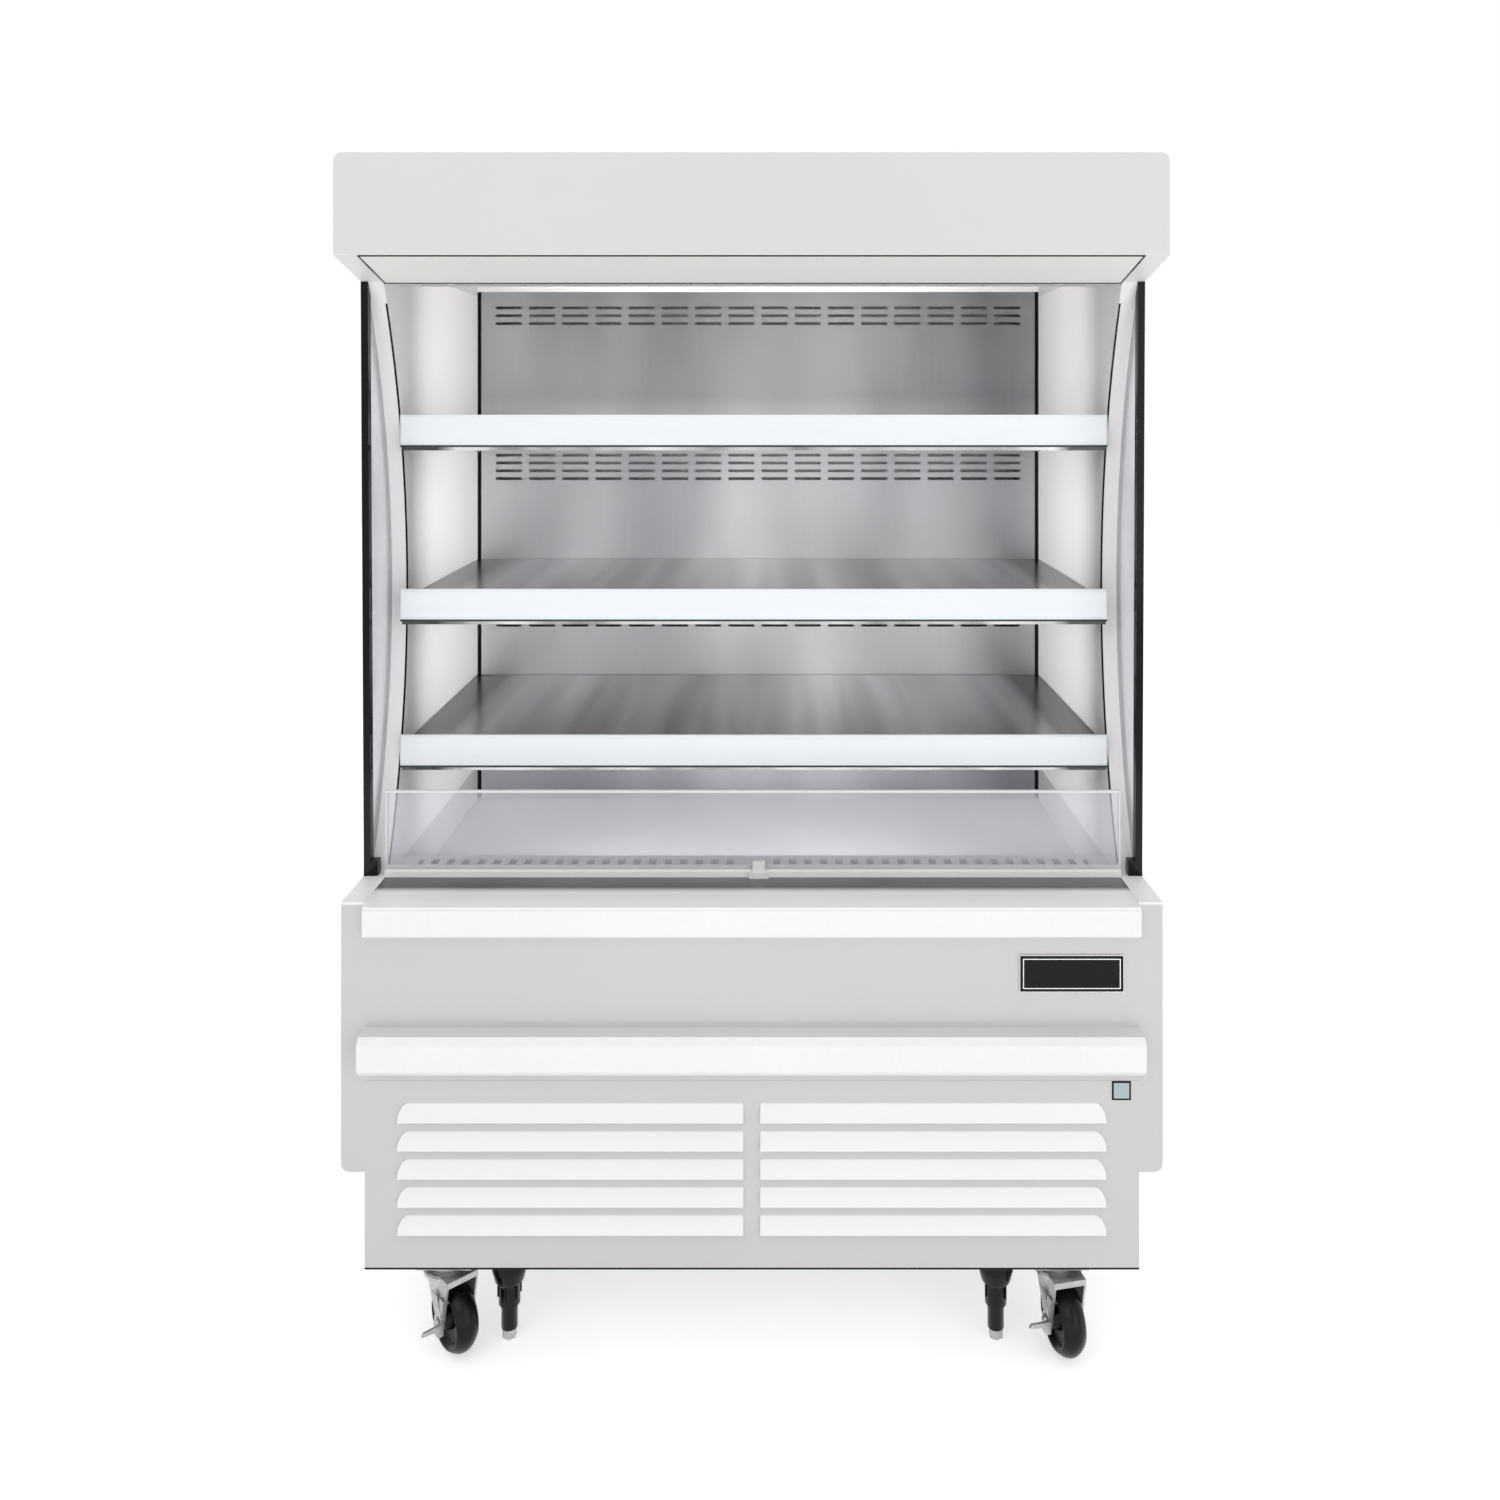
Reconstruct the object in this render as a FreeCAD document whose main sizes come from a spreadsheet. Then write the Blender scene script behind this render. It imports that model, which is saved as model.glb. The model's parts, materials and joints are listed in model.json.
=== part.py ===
import FreeCAD, Part
import math
import os

import Sketcher

# Open multideck display fridge, free-standing, plug-in, on four castors and four levelling legs.
# Millimetres. +Z is up, X runs along the front from left to right and the open front faces -Y.
# The origin is on the floor, in the middle of the cabinet's box.

doc = FreeCAD.newDocument("multideck_fridge")
sheet = doc.addObject("Spreadsheet::Sheet", "Sizes")

DRIVING = {
    # cabinet
    "cabinet_width": 1219,
    "cabinet_depth": 889,
    "cabinet_height": 1803,
    "wall_thick": 35,
    "sheet_thick": 1.2,
    "fit_gap": 0.3,
    # levels above the floor
    "panel_bottom": 155,
    "wall_bottom": 297,
    "wing_top": 697,
    "fascia_drop": 149,
    "brow_drop": 28,
    "louvre_top": 433,
    # depths behind the front of the lower bumper
    "bumper_proud": 38,
    "upper_proud": 13,
    "fascia_back": 5,
    "glass_back": 148,
    "glass_lean": 15,
    # the C-shaped front edge of the end walls
    "curve_back": 258,
    "curve_mid": 1130,
    "curve_low_y": 154.5,
    "curve_top_y": 128.5,
    "wall_corner": 12,
    # side panes and their edge trims
    "pane_thick": 6,
    "pane_inset": 2.5,
    "pane_tongue": 12,
    "trim_wide": 11,
    "trim_deep": 14,
    "boot_tall": 24,
    "boot_wide": 22,
    # back of the display space
    "liner_inset": 144,
    "liner_thick": 1.5,
    "liner_drop": 140,
    "liner_side_gap": 8,
    "rear_thick": 50,
    "upright_deep": 15,
    # air slots in the back liner
    "slot_long": 53,
    "slot_high": 6,
    "slot_margin": 30,
    "slot_columns": 16,
    "slot_rise": 16,
    "slot_low_z": 978,
    "slot_group_rise": 300,
    "slot_group_rows": 5,
    "slot_top_drop": 207.5,
    "slot_top_rows": 3,
    # roof and canopy
    "roof_thick": 60,
    "ceiling_drop": 113,
    "honey_front": 144,
    "honey_deep": 80,
    "honey_tall": 20,
    "downstand_thick": 12,
    "honey_cells": 20,
    "cell_wide": 40,
    "cell_margin": 41.5,
    "lamp_wide": 30,
    "lamp_tall": 16,
    "lamp_side": 30,
    "cover_thick": 2,
    # shelves
    "shelf_front": 214,
    "shelf_top_1": 1400,
    "shelf_top_2": 1117,
    "shelf_top_3": 880,
    "shelf_thick": 1.5,
    "shelf_lip": 40,
    "shelf_skirt": 22,
    "shelf_side_gap": 2,
    "shelf_rear_gap": 2.5,
    "strip_above": 18,
    "strip_tall": 51,
    "strip_thick": 4.5,
    "bracket_thick": 3,
    "bracket_inset": 3.6,
    "bracket_rear": 62,
    "bracket_nose": 18,
    "bracket_short": 70,
    # well, riser and return grille
    "tank_bottom": 450,
    "tank_floor": 50,
    "tank_front": 60,
    "deck_top": 625,
    "deck_front": 225,
    "ledge_flange": 14,
    "nose_long": 45,
    "nose_drop": 4,
    "riser_thick": 6,
    "riser_top": 831,
    "channel_wide": 14,
    "channel_tall": 15,
    "channel_floor": 1.5,
    "clip_x": 9,
    "clip_wide": 31,
    "tab_wide": 19,
    "tab_tall": 10,
    "grille_slots": 44,
    "grille_slot_wide": 12,
    "grille_margin": 24,
    "grille_slot_deep": 44,
    # bumpers and plates
    "bumper_tall": 56.5,
    "bumper_bottom": 455.5,
    "bumper_wall": 2.5,
    "upper_bottom": 648,
    "bumper_chamfer": 9,
    "badge_wide": 153,
    "badge_tall": 53,
    "badge_edge": 100.5,
    "badge_z": 592,
    "badge_thick": 2.4,
    "info_side": 28,
    "info_edge": 26.5,
    "info_z": 418,
    "info_thick": 0.8,
    # pressed louvres of the machine compartment
    "louvre_rows": 5,
    "louvre_pitch": 41.5,
    "louvre_tall": 27.6,
    "louvre_low_z": 208,
    "louvre_inner": 12.6,
    "louvre_edge": 51,
    "louvre_proud": 9,
    "louvre_corner": 5,
    "louvre_sweep": 17,
    "tray_deep": 20,
    # base
    "rail_tall": 70,
    "rail_wide": 60,
    "rail_thick": 3,
    "rail_inset": 102.5,
    "rail_edge": 29.5,
    "pan_z": 200,
    "skirt_top": 330,
    # castors
    "castor_edge": 107.5,
    "plate_wide": 84,
    "plate_thick": 3,
    "wheel_radius": 51,
    "wheel_thick": 36,
    "wheel_side": 42,
    "crown_shoulder": 0.72,
    "crown_flat": 0.3,
    "shoulder_sag": 0.457,
    "hub_radius": 17,
    "axle_radius": 5,
    "castor_trail": 22,
    "castor_yaw_left": 41,
    "castor_yaw_right": 12,
    "arm_gap": 4.5,
    "arm_thick": 3,
    "crown_z": 113,
    "crown_radius": 36,
    "race_radius": 27,
    "swivel_gap": 0.4,
    "pedal_thick": 2.5,
    "pedal_reach": 32,
    # levelling legs
    "leg_pitch": 94,
    "collar_radius": 27,
    "collar_low": 22.4,
    "collar_z": 95,
    "body_radius": 16.5,
    "body_z": 58,
    "tube_radius": 12.5,
    "tube_z": 21,
    "foot_radius": 11.5,
    "foot_z": 6,
    "foot_stem": 6,
    "foot_stem_top": 95,
    # refrigeration parts
    "coil_half": 440,
    "coil_deep": 190,
    "coil_tall": 105,
    "coil_front": 420,
    "coil_fins": 16,
    "fan_plate_y": 380,
    "fan_x": 230,
    "fan_radius": 50,
    "fan_ring_gap": 4,
    "fan_thick": 22,
    "condenser_wide": 400,
    "condenser_x": 270,
    "condenser_front": 70,
    "condenser_deep": 60,
    "condenser_tall": 200,
    "big_fan_radius": 88,
    "compressor_x": 300,
    "compressor_y": 90,
    "compressor_radius": 82,
    "compressor_tall": 175,
    "compressor_foot": 14,
    "pipe_radius": 5,
    "control_wide": 150,
    "control_deep": 120,
    "control_tall": 110,
    "control_edge": 104.5,
    "tray_wide": 320,
    "tray_long": 240,
    "tray_tall": 40,
    "tray_y": 300,
}

for row, (name, number) in enumerate(DRIVING.items(), start=1):
    sheet.set(f"A{row}", name)
    sheet.set(f"B{row}", str(number))
    sheet.setAlias(f"B{row}", name)
doc.recompute()


class Size:
    """A length with both its value and the sheet expression that gives it."""

    def __init__(self, value, text):
        self.value = float(value)
        self.text = text

    def __add__(self, other):
        other = as_size(other)
        return Size(self.value + other.value, f"({self.text} + {other.text})")

    def __sub__(self, other):
        other = as_size(other)
        return Size(self.value - other.value, f"({self.text} - {other.text})")

    def __mul__(self, other):
        other = as_size(other)
        return Size(self.value * other.value, f"({self.text} * {other.text})")

    def __truediv__(self, other):
        other = as_size(other)
        return Size(self.value / other.value, f"({self.text} / {other.text})")

    def __neg__(self):
        return Size(-self.value, f"(0 - {self.text})")

    def __radd__(self, other):
        return as_size(other) + self

    def __rsub__(self, other):
        return as_size(other) - self

    __rmul__ = __mul__


def as_size(number):
    if isinstance(number, Size):
        return number
    return Size(number, f"({number:g})")


class Cells:
    """The sheet's cells as sizes, by their aliases."""

    def __getattr__(self, name):
        return Size(sheet.get(name), f"Sizes.{name}")


s = Cells()

# ---------------------------------------------------------------------------------------
# Helpers
# ---------------------------------------------------------------------------------------

PLANE_ROLE = {"XY": "XY_Plane", "XZ": "XZ_Plane", "YZ": "YZ_Plane"}


def bind(thing, prop, size):
    """Tie one property of an object to the sheet."""
    thing.setExpression(prop, as_size(size).text)


def place(thing, x, y, z, turn=None):
    """Tie an object's position, and its turn about Z, to the sheet."""
    for axis, size in zip("xyz", (x, y, z)):
        bind(thing, f"Placement.Base.{axis}", size)
    if turn is not None:
        thing.Placement.Rotation = FreeCAD.Rotation(FreeCAD.Vector(0, 0, 1), as_size(turn).value)
        bind(thing, "Placement.Rotation.Angle", turn)
    return thing


def block(name, x, y, z):
    """A rectangular piece between pairs of sizes."""
    box = doc.addObject("Part::Box", name)
    for prop, (low, high) in zip(("Length", "Width", "Height"), (x, y, z)):
        bind(box, prop, as_size(high) - low)
    return place(box, x[0], y[0], z[0])


AXIS_TURN = {
    "x": FreeCAD.Rotation(FreeCAD.Vector(0, 1, 0), 90),
    "y": FreeCAD.Rotation(FreeCAD.Vector(1, 0, 0), -90),
    "z": FreeCAD.Rotation(),
}


def rod(name, axis, start, radius, length):
    """A round piece that runs from start along +axis."""
    cylinder = doc.addObject("Part::Cylinder", name)
    cylinder.Placement = FreeCAD.Placement(FreeCAD.Vector(), AXIS_TURN[axis])
    bind(cylinder, "Radius", radius)
    bind(cylinder, "Height", length)
    return place(cylinder, *start)


def fuse(name, pieces):
    joined = doc.addObject("Part::MultiFuse", name)
    joined.Shapes = pieces
    joined.Refine = True
    return joined


def cut(name, base, tool):
    result = doc.addObject("Part::Cut", name)
    result.Base = base
    result.Tool = tool
    result.Refine = True
    return result


def group(name, pieces):
    """Separate solids of one kind that share a node."""
    compound = doc.addObject("Part::Compound", name)
    compound.Links = pieces
    return compound


def solid(name, shape):
    feature = doc.addObject("Part::Feature", name)
    feature.Shape = shape
    return feature


def sketch_on(body, plane, height, name):
    """An empty sketch parallel to one of the body's own origin planes."""
    for feature in body.Origin.OriginFeatures:
        if feature.Role == PLANE_ROLE[plane]:
            support = feature
    sketch = body.newObject("Sketcher::SketchObject", name)
    sketch.AttachmentSupport = [(support, "")]
    sketch.MapMode = "FlatFace"
    # the XZ plane's normal points along -Y
    bind(sketch, "AttachmentOffset.Base.z", -as_size(height) if plane == "XZ" else height)
    return sketch


def loop(sketch, corners):
    """A closed outline. A corner is (across, up), or (across, up, radius) where the edge that
    leaves it is an arc: a positive radius bulges to the right of the way the outline runs."""
    first = sketch.GeometryCount
    count = len(corners)
    starts = []
    for index, corner in enumerate(corners):
        following = corners[(index + 1) % count]
        a = FreeCAD.Vector(as_size(corner[0]).value, as_size(corner[1]).value, 0)
        b = FreeCAD.Vector(as_size(following[0]).value, as_size(following[1]).value, 0)
        if len(corner) == 2:
            sketch.addGeometry(Part.LineSegment(a, b), False)
            starts.append((1, 2))
            continue
        radius = as_size(corner[2])
        half = (b - a).Length / 2
        right = FreeCAD.Vector((b - a).y, -(b - a).x, 0).normalize()
        reach = math.sqrt(radius.value ** 2 - half ** 2)
        side = 1 if radius.value > 0 else -1
        centre = (a + b) * 0.5 - right * (side * reach)
        circle = Part.Circle(centre, FreeCAD.Vector(0, 0, 1), abs(radius.value))
        angle_a = math.atan2(a.y - centre.y, a.x - centre.x)
        angle_b = math.atan2(b.y - centre.y, b.x - centre.x)
        forward = side > 0
        low, high = (angle_a, angle_b) if forward else (angle_b, angle_a)
        if high < low:
            high += 2 * math.pi
        sketch.addGeometry(Part.ArcOfCircle(circle, low, high), False)
        starts.append((1, 2) if forward else (2, 1))
    for index in range(count):
        following = (index + 1) % count
        sketch.addConstraint(Sketcher.Constraint(
            "Coincident", first + index, starts[index][1], first + following, starts[following][0]))
    for index, corner in enumerate(corners):
        for kind, size, axis in (("DistanceX", corner[0], -2), ("DistanceY", corner[1], -1)):
            size = as_size(size)
            point = (first + index, starts[index][0])
            if size.value == 0:
                sketch.addConstraint(Sketcher.Constraint("PointOnObject", *point, axis))
                continue
            number = sketch.addConstraint(Sketcher.Constraint(kind, -1, 1, *point, size.value))
            sketch.setExpression(f"Constraints[{number}]", size.text)
        if len(corner) == 3:
            radius = as_size(corner[2])
            positive = radius if radius.value > 0 else -radius
            number = sketch.addConstraint(
                Sketcher.Constraint("Radius", first + index, positive.value))
            sketch.setExpression(f"Constraints[{number}]", positive.text)


def ring(sketch, across, up, radius):
    """A full circle."""
    across, up, radius = as_size(across), as_size(up), as_size(radius)
    centre = FreeCAD.Vector(across.value, up.value, 0)
    index = sketch.addGeometry(Part.Circle(centre, FreeCAD.Vector(0, 0, 1), radius.value), False)
    for kind, size, axis in (("DistanceX", across, -2), ("DistanceY", up, -1)):
        if size.value == 0:
            sketch.addConstraint(Sketcher.Constraint("PointOnObject", index, 3, axis))
            continue
        number = sketch.addConstraint(Sketcher.Constraint(kind, -1, 1, index, 3, size.value))
        sketch.setExpression(f"Constraints[{number}]", size.text)
    number = sketch.addConstraint(Sketcher.Constraint("Radius", index, radius.value))
    sketch.setExpression(f"Constraints[{number}]", radius.text)


def prism(name, plane, outlines, low, high):
    """A body padded from one outline, with further outlines as holes, between two heights."""
    body = doc.addObject("PartDesign::Body", name)
    sketch = sketch_on(body, plane, high if plane == "XZ" else low, f"{name}_outline")
    for corners in outlines:
        if isinstance(corners, tuple):
            ring(sketch, *corners)
        else:
            loop(sketch, corners)
    pad = body.newObject("PartDesign::Pad", f"{name}_pad")
    pad.Profile = sketch
    bind(pad, "Length", as_size(high) - low)
    sketch.Visibility = False
    return body


def oblong(x0, x1, z0, z1):
    return [(x0, z0), (x1, z0), (x1, z1), (x0, z1)]


def slots(body, name, plane, height, corners, depth, across):
    """Cut one opening into the body's face and repeat it: across is (pitch, count)."""
    sketch = sketch_on(body, plane, height, f"{name}_outline")
    loop(sketch, corners)
    pocket = body.newObject("PartDesign::Pocket", f"{name}_pocket")
    pocket.Profile = sketch
    bind(pocket, "Length", depth)
    pattern = body.newObject("PartDesign::LinearPattern", f"{name}_pattern")
    pattern.Originals = [pocket]
    pattern.Direction = (sketch, ["H_Axis"])
    bind(pattern, "Length", across[0] * (across[1] - 1))
    bind(pattern, "Occurrences", across[1])
    body.Tip = pattern
    return body


def spread(width, margin, opening, count):
    """Pitch of a row of openings that keeps a margin at both ends of a width."""
    return (width - margin * 2 - opening) / (count - 1)


def row_of(middle, pitch, count):
    """Centres of a row of openings."""
    first = as_size(middle).value - (as_size(count).value - 1) * as_size(pitch).value / 2
    return [first + index * as_size(pitch).value for index in range(int(as_size(count).value))]


def rounded_slot(across, up, long, high, corner):
    """Edges of one opening in the XY plane, its corners rounded."""
    x0, x1, y0, y1 = across - long / 2, across + long / 2, up - high / 2, up + high / 2
    points = [(x0, y0), (x1, y0), (x1, y1), (x0, y1)]
    corners = [FreeCAD.Vector(x, y, 0) for x, y in points]
    if not corner:
        return Part.makePolygon(corners + corners[:1])
    edges = []
    for index, here in enumerate(corners):
        before = (corners[index - 1] - here).normalize()
        after = (corners[(index + 1) % 4] - here).normalize()
        middle = here + (before + after) * (corner * (1 - math.sqrt(0.5)))
        edges.append(Part.Arc(here + before * corner, middle, here + after * corner).toShape())
        if index == 3:
            following = corners[0] + (corners[3] - corners[0]).normalize() * corner
        else:
            following = corners[index + 1] + (here - corners[index + 1]).normalize() * corner
        edges.append(Part.makeLine(here + after * corner, following))
    return Part.Wire(edges)


def perforated(name, across, up, thick, openings, standing):
    """A sheet with openings (across, up, long, high, corner), flat, or standing to face -Y."""
    x0, x1 = (as_size(size).value for size in across)
    y0, y1 = (as_size(size).value for size in up)
    low, high = (as_size(size).value for size in thick)
    outer = rounded_slot((x0 + x1) / 2, (y0 + y1) / 2, x1 - x0, y1 - y0, 0)
    holes = [rounded_slot(*opening) for opening in openings]
    face = Part.makeFace([outer] + holes, "Part::FaceMakerBullseye")
    sheet_shape = face.extrude(FreeCAD.Vector(0, 0, high - low))
    if standing:
        sheet_shape.rotate(FreeCAD.Vector(), FreeCAD.Vector(1, 0, 0), 90)
        sheet_shape.translate(FreeCAD.Vector(0, high, 0))
    else:
        sheet_shape.translate(FreeCAD.Vector(0, 0, low))
    return solid(name, sheet_shape)


def revolved(name, plane, corners, axis):
    """A body turned from a half section about the sketch's H or V axis."""
    body = doc.addObject("PartDesign::Body", name)
    sketch = sketch_on(body, plane, 0, f"{name}_section")
    loop(sketch, corners)
    turn = body.newObject("PartDesign::Revolution", f"{name}_turn")
    turn.Profile = sketch
    turn.ReferenceAxis = (sketch, [axis])
    turn.Angle = 360
    return body


# ---------------------------------------------------------------------------------------
# Planes that the pieces share
# ---------------------------------------------------------------------------------------

half_width = s.cabinet_width / 2
inner = half_width - s.wall_thick
front = -s.cabinet_depth / 2
rear = s.cabinet_depth / 2
panel_y = front + s.bumper_proud
upper_y = panel_y - s.upper_proud
fascia_y = front + s.fascia_back
glass_low_y = front + s.glass_back
glass_top_y = glass_low_y - s.glass_lean
fascia_bottom = s.cabinet_height - s.fascia_drop
liner_top = s.cabinet_height - s.liner_drop
ceiling_z = s.cabinet_height - s.ceiling_drop
brow_z = fascia_bottom - s.brow_drop
rail_y = rear - s.rail_inset
rail_half = inner - s.rail_edge
castor_x = inner - s.castor_edge
leg_x = castor_x - s.leg_pitch
badge_x = inner - s.badge_edge
info_x = inner - s.info_edge
louvre_outer = inner - s.louvre_edge
control_x = inner - s.control_edge
curve_mid_y = front + s.curve_back
curve_low_y = front + s.curve_low_y
curve_top_y = front + s.curve_top_y
liner_y = rear - s.liner_inset
liner_rear = liner_y + s.liner_thick
rear_inner = rear - s.rear_thick
roof_top = s.cabinet_height - s.sheet_thick
roof_low = roof_top - s.roof_thick
honey_y = front + s.honey_front
honey_rear = honey_y + s.honey_deep
pane_outer = half_width - s.pane_inset
pane_inner = pane_outer - s.pane_thick


def bulge(sag_y, rise):
    """Radius of the arc that sags by sag_y over a rise, upright at its deep end."""
    return (rise * rise + sag_y * sag_y) / (2 * sag_y)


low_bulge = bulge(curve_mid_y - curve_low_y, s.curve_mid - s.wing_top)
top_bulge = bulge(curve_mid_y - curve_top_y, brow_z - s.curve_mid)

# ---------------------------------------------------------------------------------------
# End walls: foamed panels with a C-shaped front edge, slotted for the side panes
# ---------------------------------------------------------------------------------------


def pane_outline(shift, low_z, top_z, front_low, front_top):
    """Side view of the pane, its rear edge following the end wall's curve."""
    return [
        (front_low, low_z),
        (curve_low_y + shift, low_z, low_bulge),
        (curve_mid_y + shift, s.curve_mid, top_bulge),
        (curve_top_y + shift, top_z),
        (front_top, top_z),
    ]


def end_wall(side_name, inside, outside, pane_low_x, pane_high_x):
    side_view = [
        (panel_y, s.wall_bottom),
        (rear, s.wall_bottom),
        (rear, s.cabinet_height),
        (fascia_y, s.cabinet_height),
        (fascia_y, fascia_bottom),
        (curve_top_y, brow_z, -top_bulge),
        (curve_mid_y, s.curve_mid, -low_bulge),
        (curve_low_y, s.wing_top),
        (panel_y, s.wing_top),
    ]
    x0, x1 = (inside, outside) if as_size(inside).value < as_size(outside).value else (outside, inside)
    profile = prism(f"{side_name}_profile", "YZ", [side_view], x0, x1)
    r = s.wall_corner
    if as_size(outside).value > 0:
        front_view = [
            (x0, s.wall_bottom), (x1 - r, s.wall_bottom, r), (x1, s.wall_bottom + r),
            (x1, s.cabinet_height - r, r), (x1 - r, s.cabinet_height), (x0, s.cabinet_height),
        ]
    else:
        front_view = [
            (x0 + r, s.wall_bottom), (x1, s.wall_bottom), (x1, s.cabinet_height),
            (x0 + r, s.cabinet_height, r), (x0, s.cabinet_height - r), (x0, s.wall_bottom + r, r),
        ]
    rounding = prism(f"{side_name}_rounding", "XZ", [front_view], front, rear)
    rounded = doc.addObject("Part::Common", f"{side_name}_rounded")
    rounded.Base = profile
    rounded.Tool = rounding
    slot = prism(
        f"{side_name}_slot", "YZ",
        [pane_outline(s.pane_tongue + s.fit_gap, s.wing_top, brow_z,
                      glass_low_y - s.trim_deep, glass_top_y - s.trim_deep)],
        pane_low_x - s.fit_gap, pane_high_x + s.fit_gap)
    return cut(side_name, rounded, slot)


wall_left = end_wall("end_wall_left", -inner, -half_width, -pane_outer, -pane_inner)
wall_right = end_wall("end_wall_right", inner, half_width, pane_inner, pane_outer)


def pane(name, low_x, high_x):
    return prism(
        name, "YZ",
        [pane_outline(s.pane_tongue, s.wing_top, brow_z, glass_low_y, glass_top_y)],
        low_x, high_x)


group("side_glass", [
    pane("pane_left", -pane_outer, -pane_inner),
    pane("pane_right", pane_inner, pane_outer),
])


def edge_trim(name, side, wall):
    """Channel on the front edge of a pane, with a boot where it stands on the base."""
    middle = (pane_outer + pane_inner) / 2
    wide = s.trim_wide / 2
    nose = s.trim_deep / 2 - s.fit_gap
    bed = s.trim_deep - nose
    channel_view = [
        (glass_low_y - nose, s.wing_top),
        (glass_low_y + bed, s.wing_top),
        (glass_top_y + bed, brow_z),
        (glass_top_y - nose, brow_z),
    ]
    boot_view = [
        (glass_low_y - nose - 1, s.wing_top),
        (glass_low_y + bed + 3, s.wing_top),
        (glass_low_y + bed, s.wing_top + s.boot_tall),
        (glass_low_y - nose, s.wing_top + s.boot_tall),
    ]
    boot_outer = middle + wide
    if side > 0:
        spans = ((middle - wide, middle + wide), (boot_outer - s.boot_wide, boot_outer))
    else:
        spans = ((-middle - wide, -middle + wide), (-boot_outer, s.boot_wide - boot_outer))
    channel = prism(f"{name}_channel", "YZ", [channel_view], *spans[0])
    boot = prism(f"{name}_boot", "YZ", [boot_view], *spans[1])
    glass = pane(f"{name}_groove", *((pane_inner, pane_outer) if side > 0
                                    else (-pane_outer, -pane_inner)))
    blank = cut(f"{name}_blank", fuse(f"{name}_body", [channel, boot]), glass)
    return cut(name, blank, wall)


group("glass_trims", [
    edge_trim("trim_left", -1, wall_left),
    edge_trim("trim_right", 1, wall_right),
])

# ---------------------------------------------------------------------------------------
# Roof, canopy and the air duct over the shelves
# ---------------------------------------------------------------------------------------

fascia_inner = fascia_y + s.sheet_thick
downstand_y = honey_y - s.downstand_thick
honey_z = brow_z + s.sheet_thick
ceiling_rear = liner_y + s.sheet_thick
canopy_flange = s.tray_deep

prism("roof_panel", "YZ", [[
    (fascia_inner, roof_low),
    (downstand_y, roof_low),
    (downstand_y, honey_z),
    (honey_y, honey_z),
    (honey_y, roof_low),
    (rear_inner, roof_low),
    (rear_inner, roof_top),
    (fascia_inner, roof_top),
]], -inner, inner)

prism("canopy_fascia", "YZ", [[
    (fascia_y, fascia_bottom),
    (fascia_inner, fascia_bottom),
    (fascia_inner, roof_top),
    (fascia_y + canopy_flange, roof_top),
    (fascia_y + canopy_flange, s.cabinet_height),
    (fascia_y, s.cabinet_height),
]], -inner, inner)

# sloping diffuser under the canopy, from the fascia's foot back to the downstand
prism("lamp_cover", "YZ", [[
    (fascia_y, fascia_bottom - s.cover_thick),
    (downstand_y, brow_z - s.cover_thick),
    (honey_y, brow_z - s.cover_thick),
    (honey_y, brow_z),
    (downstand_y, brow_z),
    (fascia_y, fascia_bottom),
]], -inner + s.fit_gap, inner - s.fit_gap)

# lamp: an aluminium channel on the downstand with its lens turned down and forward
lamp_z = fascia_bottom + s.lamp_tall
prism("led_lamp", "YZ", [[
    (downstand_y - s.lamp_wide, lamp_z),
    (downstand_y - s.lamp_wide + s.lamp_tall / 2, lamp_z - s.lamp_tall / 2),
    (downstand_y, lamp_z - s.lamp_tall / 2),
    (downstand_y, lamp_z + s.lamp_tall),
    (downstand_y - s.lamp_wide, lamp_z + s.lamp_tall),
]], -inner + s.lamp_side, inner - s.lamp_side)

cell_deep = s.honey_deep * 0.4
cell_pitch = spread(inner * 2, s.cell_margin, s.cell_wide, s.honey_cells)
cell_rows = row_of((honey_y + honey_rear) / 2, cell_deep + s.foot_z, 2)
perforated(
    "air_honeycomb", (-inner, inner), (honey_y, honey_rear),
    (honey_z, honey_z + s.honey_tall),
    [(x, y, s.cell_wide.value, cell_deep.value, 0)
     for x in row_of(0, cell_pitch, s.honey_cells) for y in cell_rows], False)

prism("ceiling_panel", "YZ", [[
    (honey_rear, honey_z),
    (honey_rear + s.sheet_thick, honey_z),
    (honey_rear + s.sheet_thick, ceiling_z),
    (liner_y, ceiling_z),
    (liner_y, liner_top + s.fit_gap),
    (ceiling_rear, liner_top + s.fit_gap),
    (ceiling_rear, ceiling_z + s.sheet_thick),
    (honey_rear, ceiling_z + s.sheet_thick),
]], -inner, inner)

# ---------------------------------------------------------------------------------------
# Back of the display space
# ---------------------------------------------------------------------------------------

tank_top = s.tank_bottom + s.tank_floor
block("rear_wall", (-inner, inner), (rear_inner, rear), (s.tank_bottom, roof_top))

back_half = inner - s.liner_side_gap
slot_pitch = spread(back_half * 2, s.slot_margin, s.slot_long, s.slot_columns)
slot_groups = (
    (s.slot_low_z, s.slot_group_rows),
    (s.slot_low_z + s.slot_group_rise, s.slot_group_rows),
    (s.cabinet_height - s.slot_top_drop, s.slot_top_rows),
)
air_slots = []
for slot_z, rows in slot_groups:
    for row in range(int(rows.value)):
        up = slot_z.value + row * s.slot_rise.value + s.slot_high.value / 2
        for x in row_of(0, slot_pitch, s.slot_columns):
            air_slots.append((x, up, s.slot_long.value, s.slot_high.value, 0))
perforated("back_panel", (-back_half, back_half), (s.deck_top, liner_top),
           (liner_y, liner_rear), air_slots, True)


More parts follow.
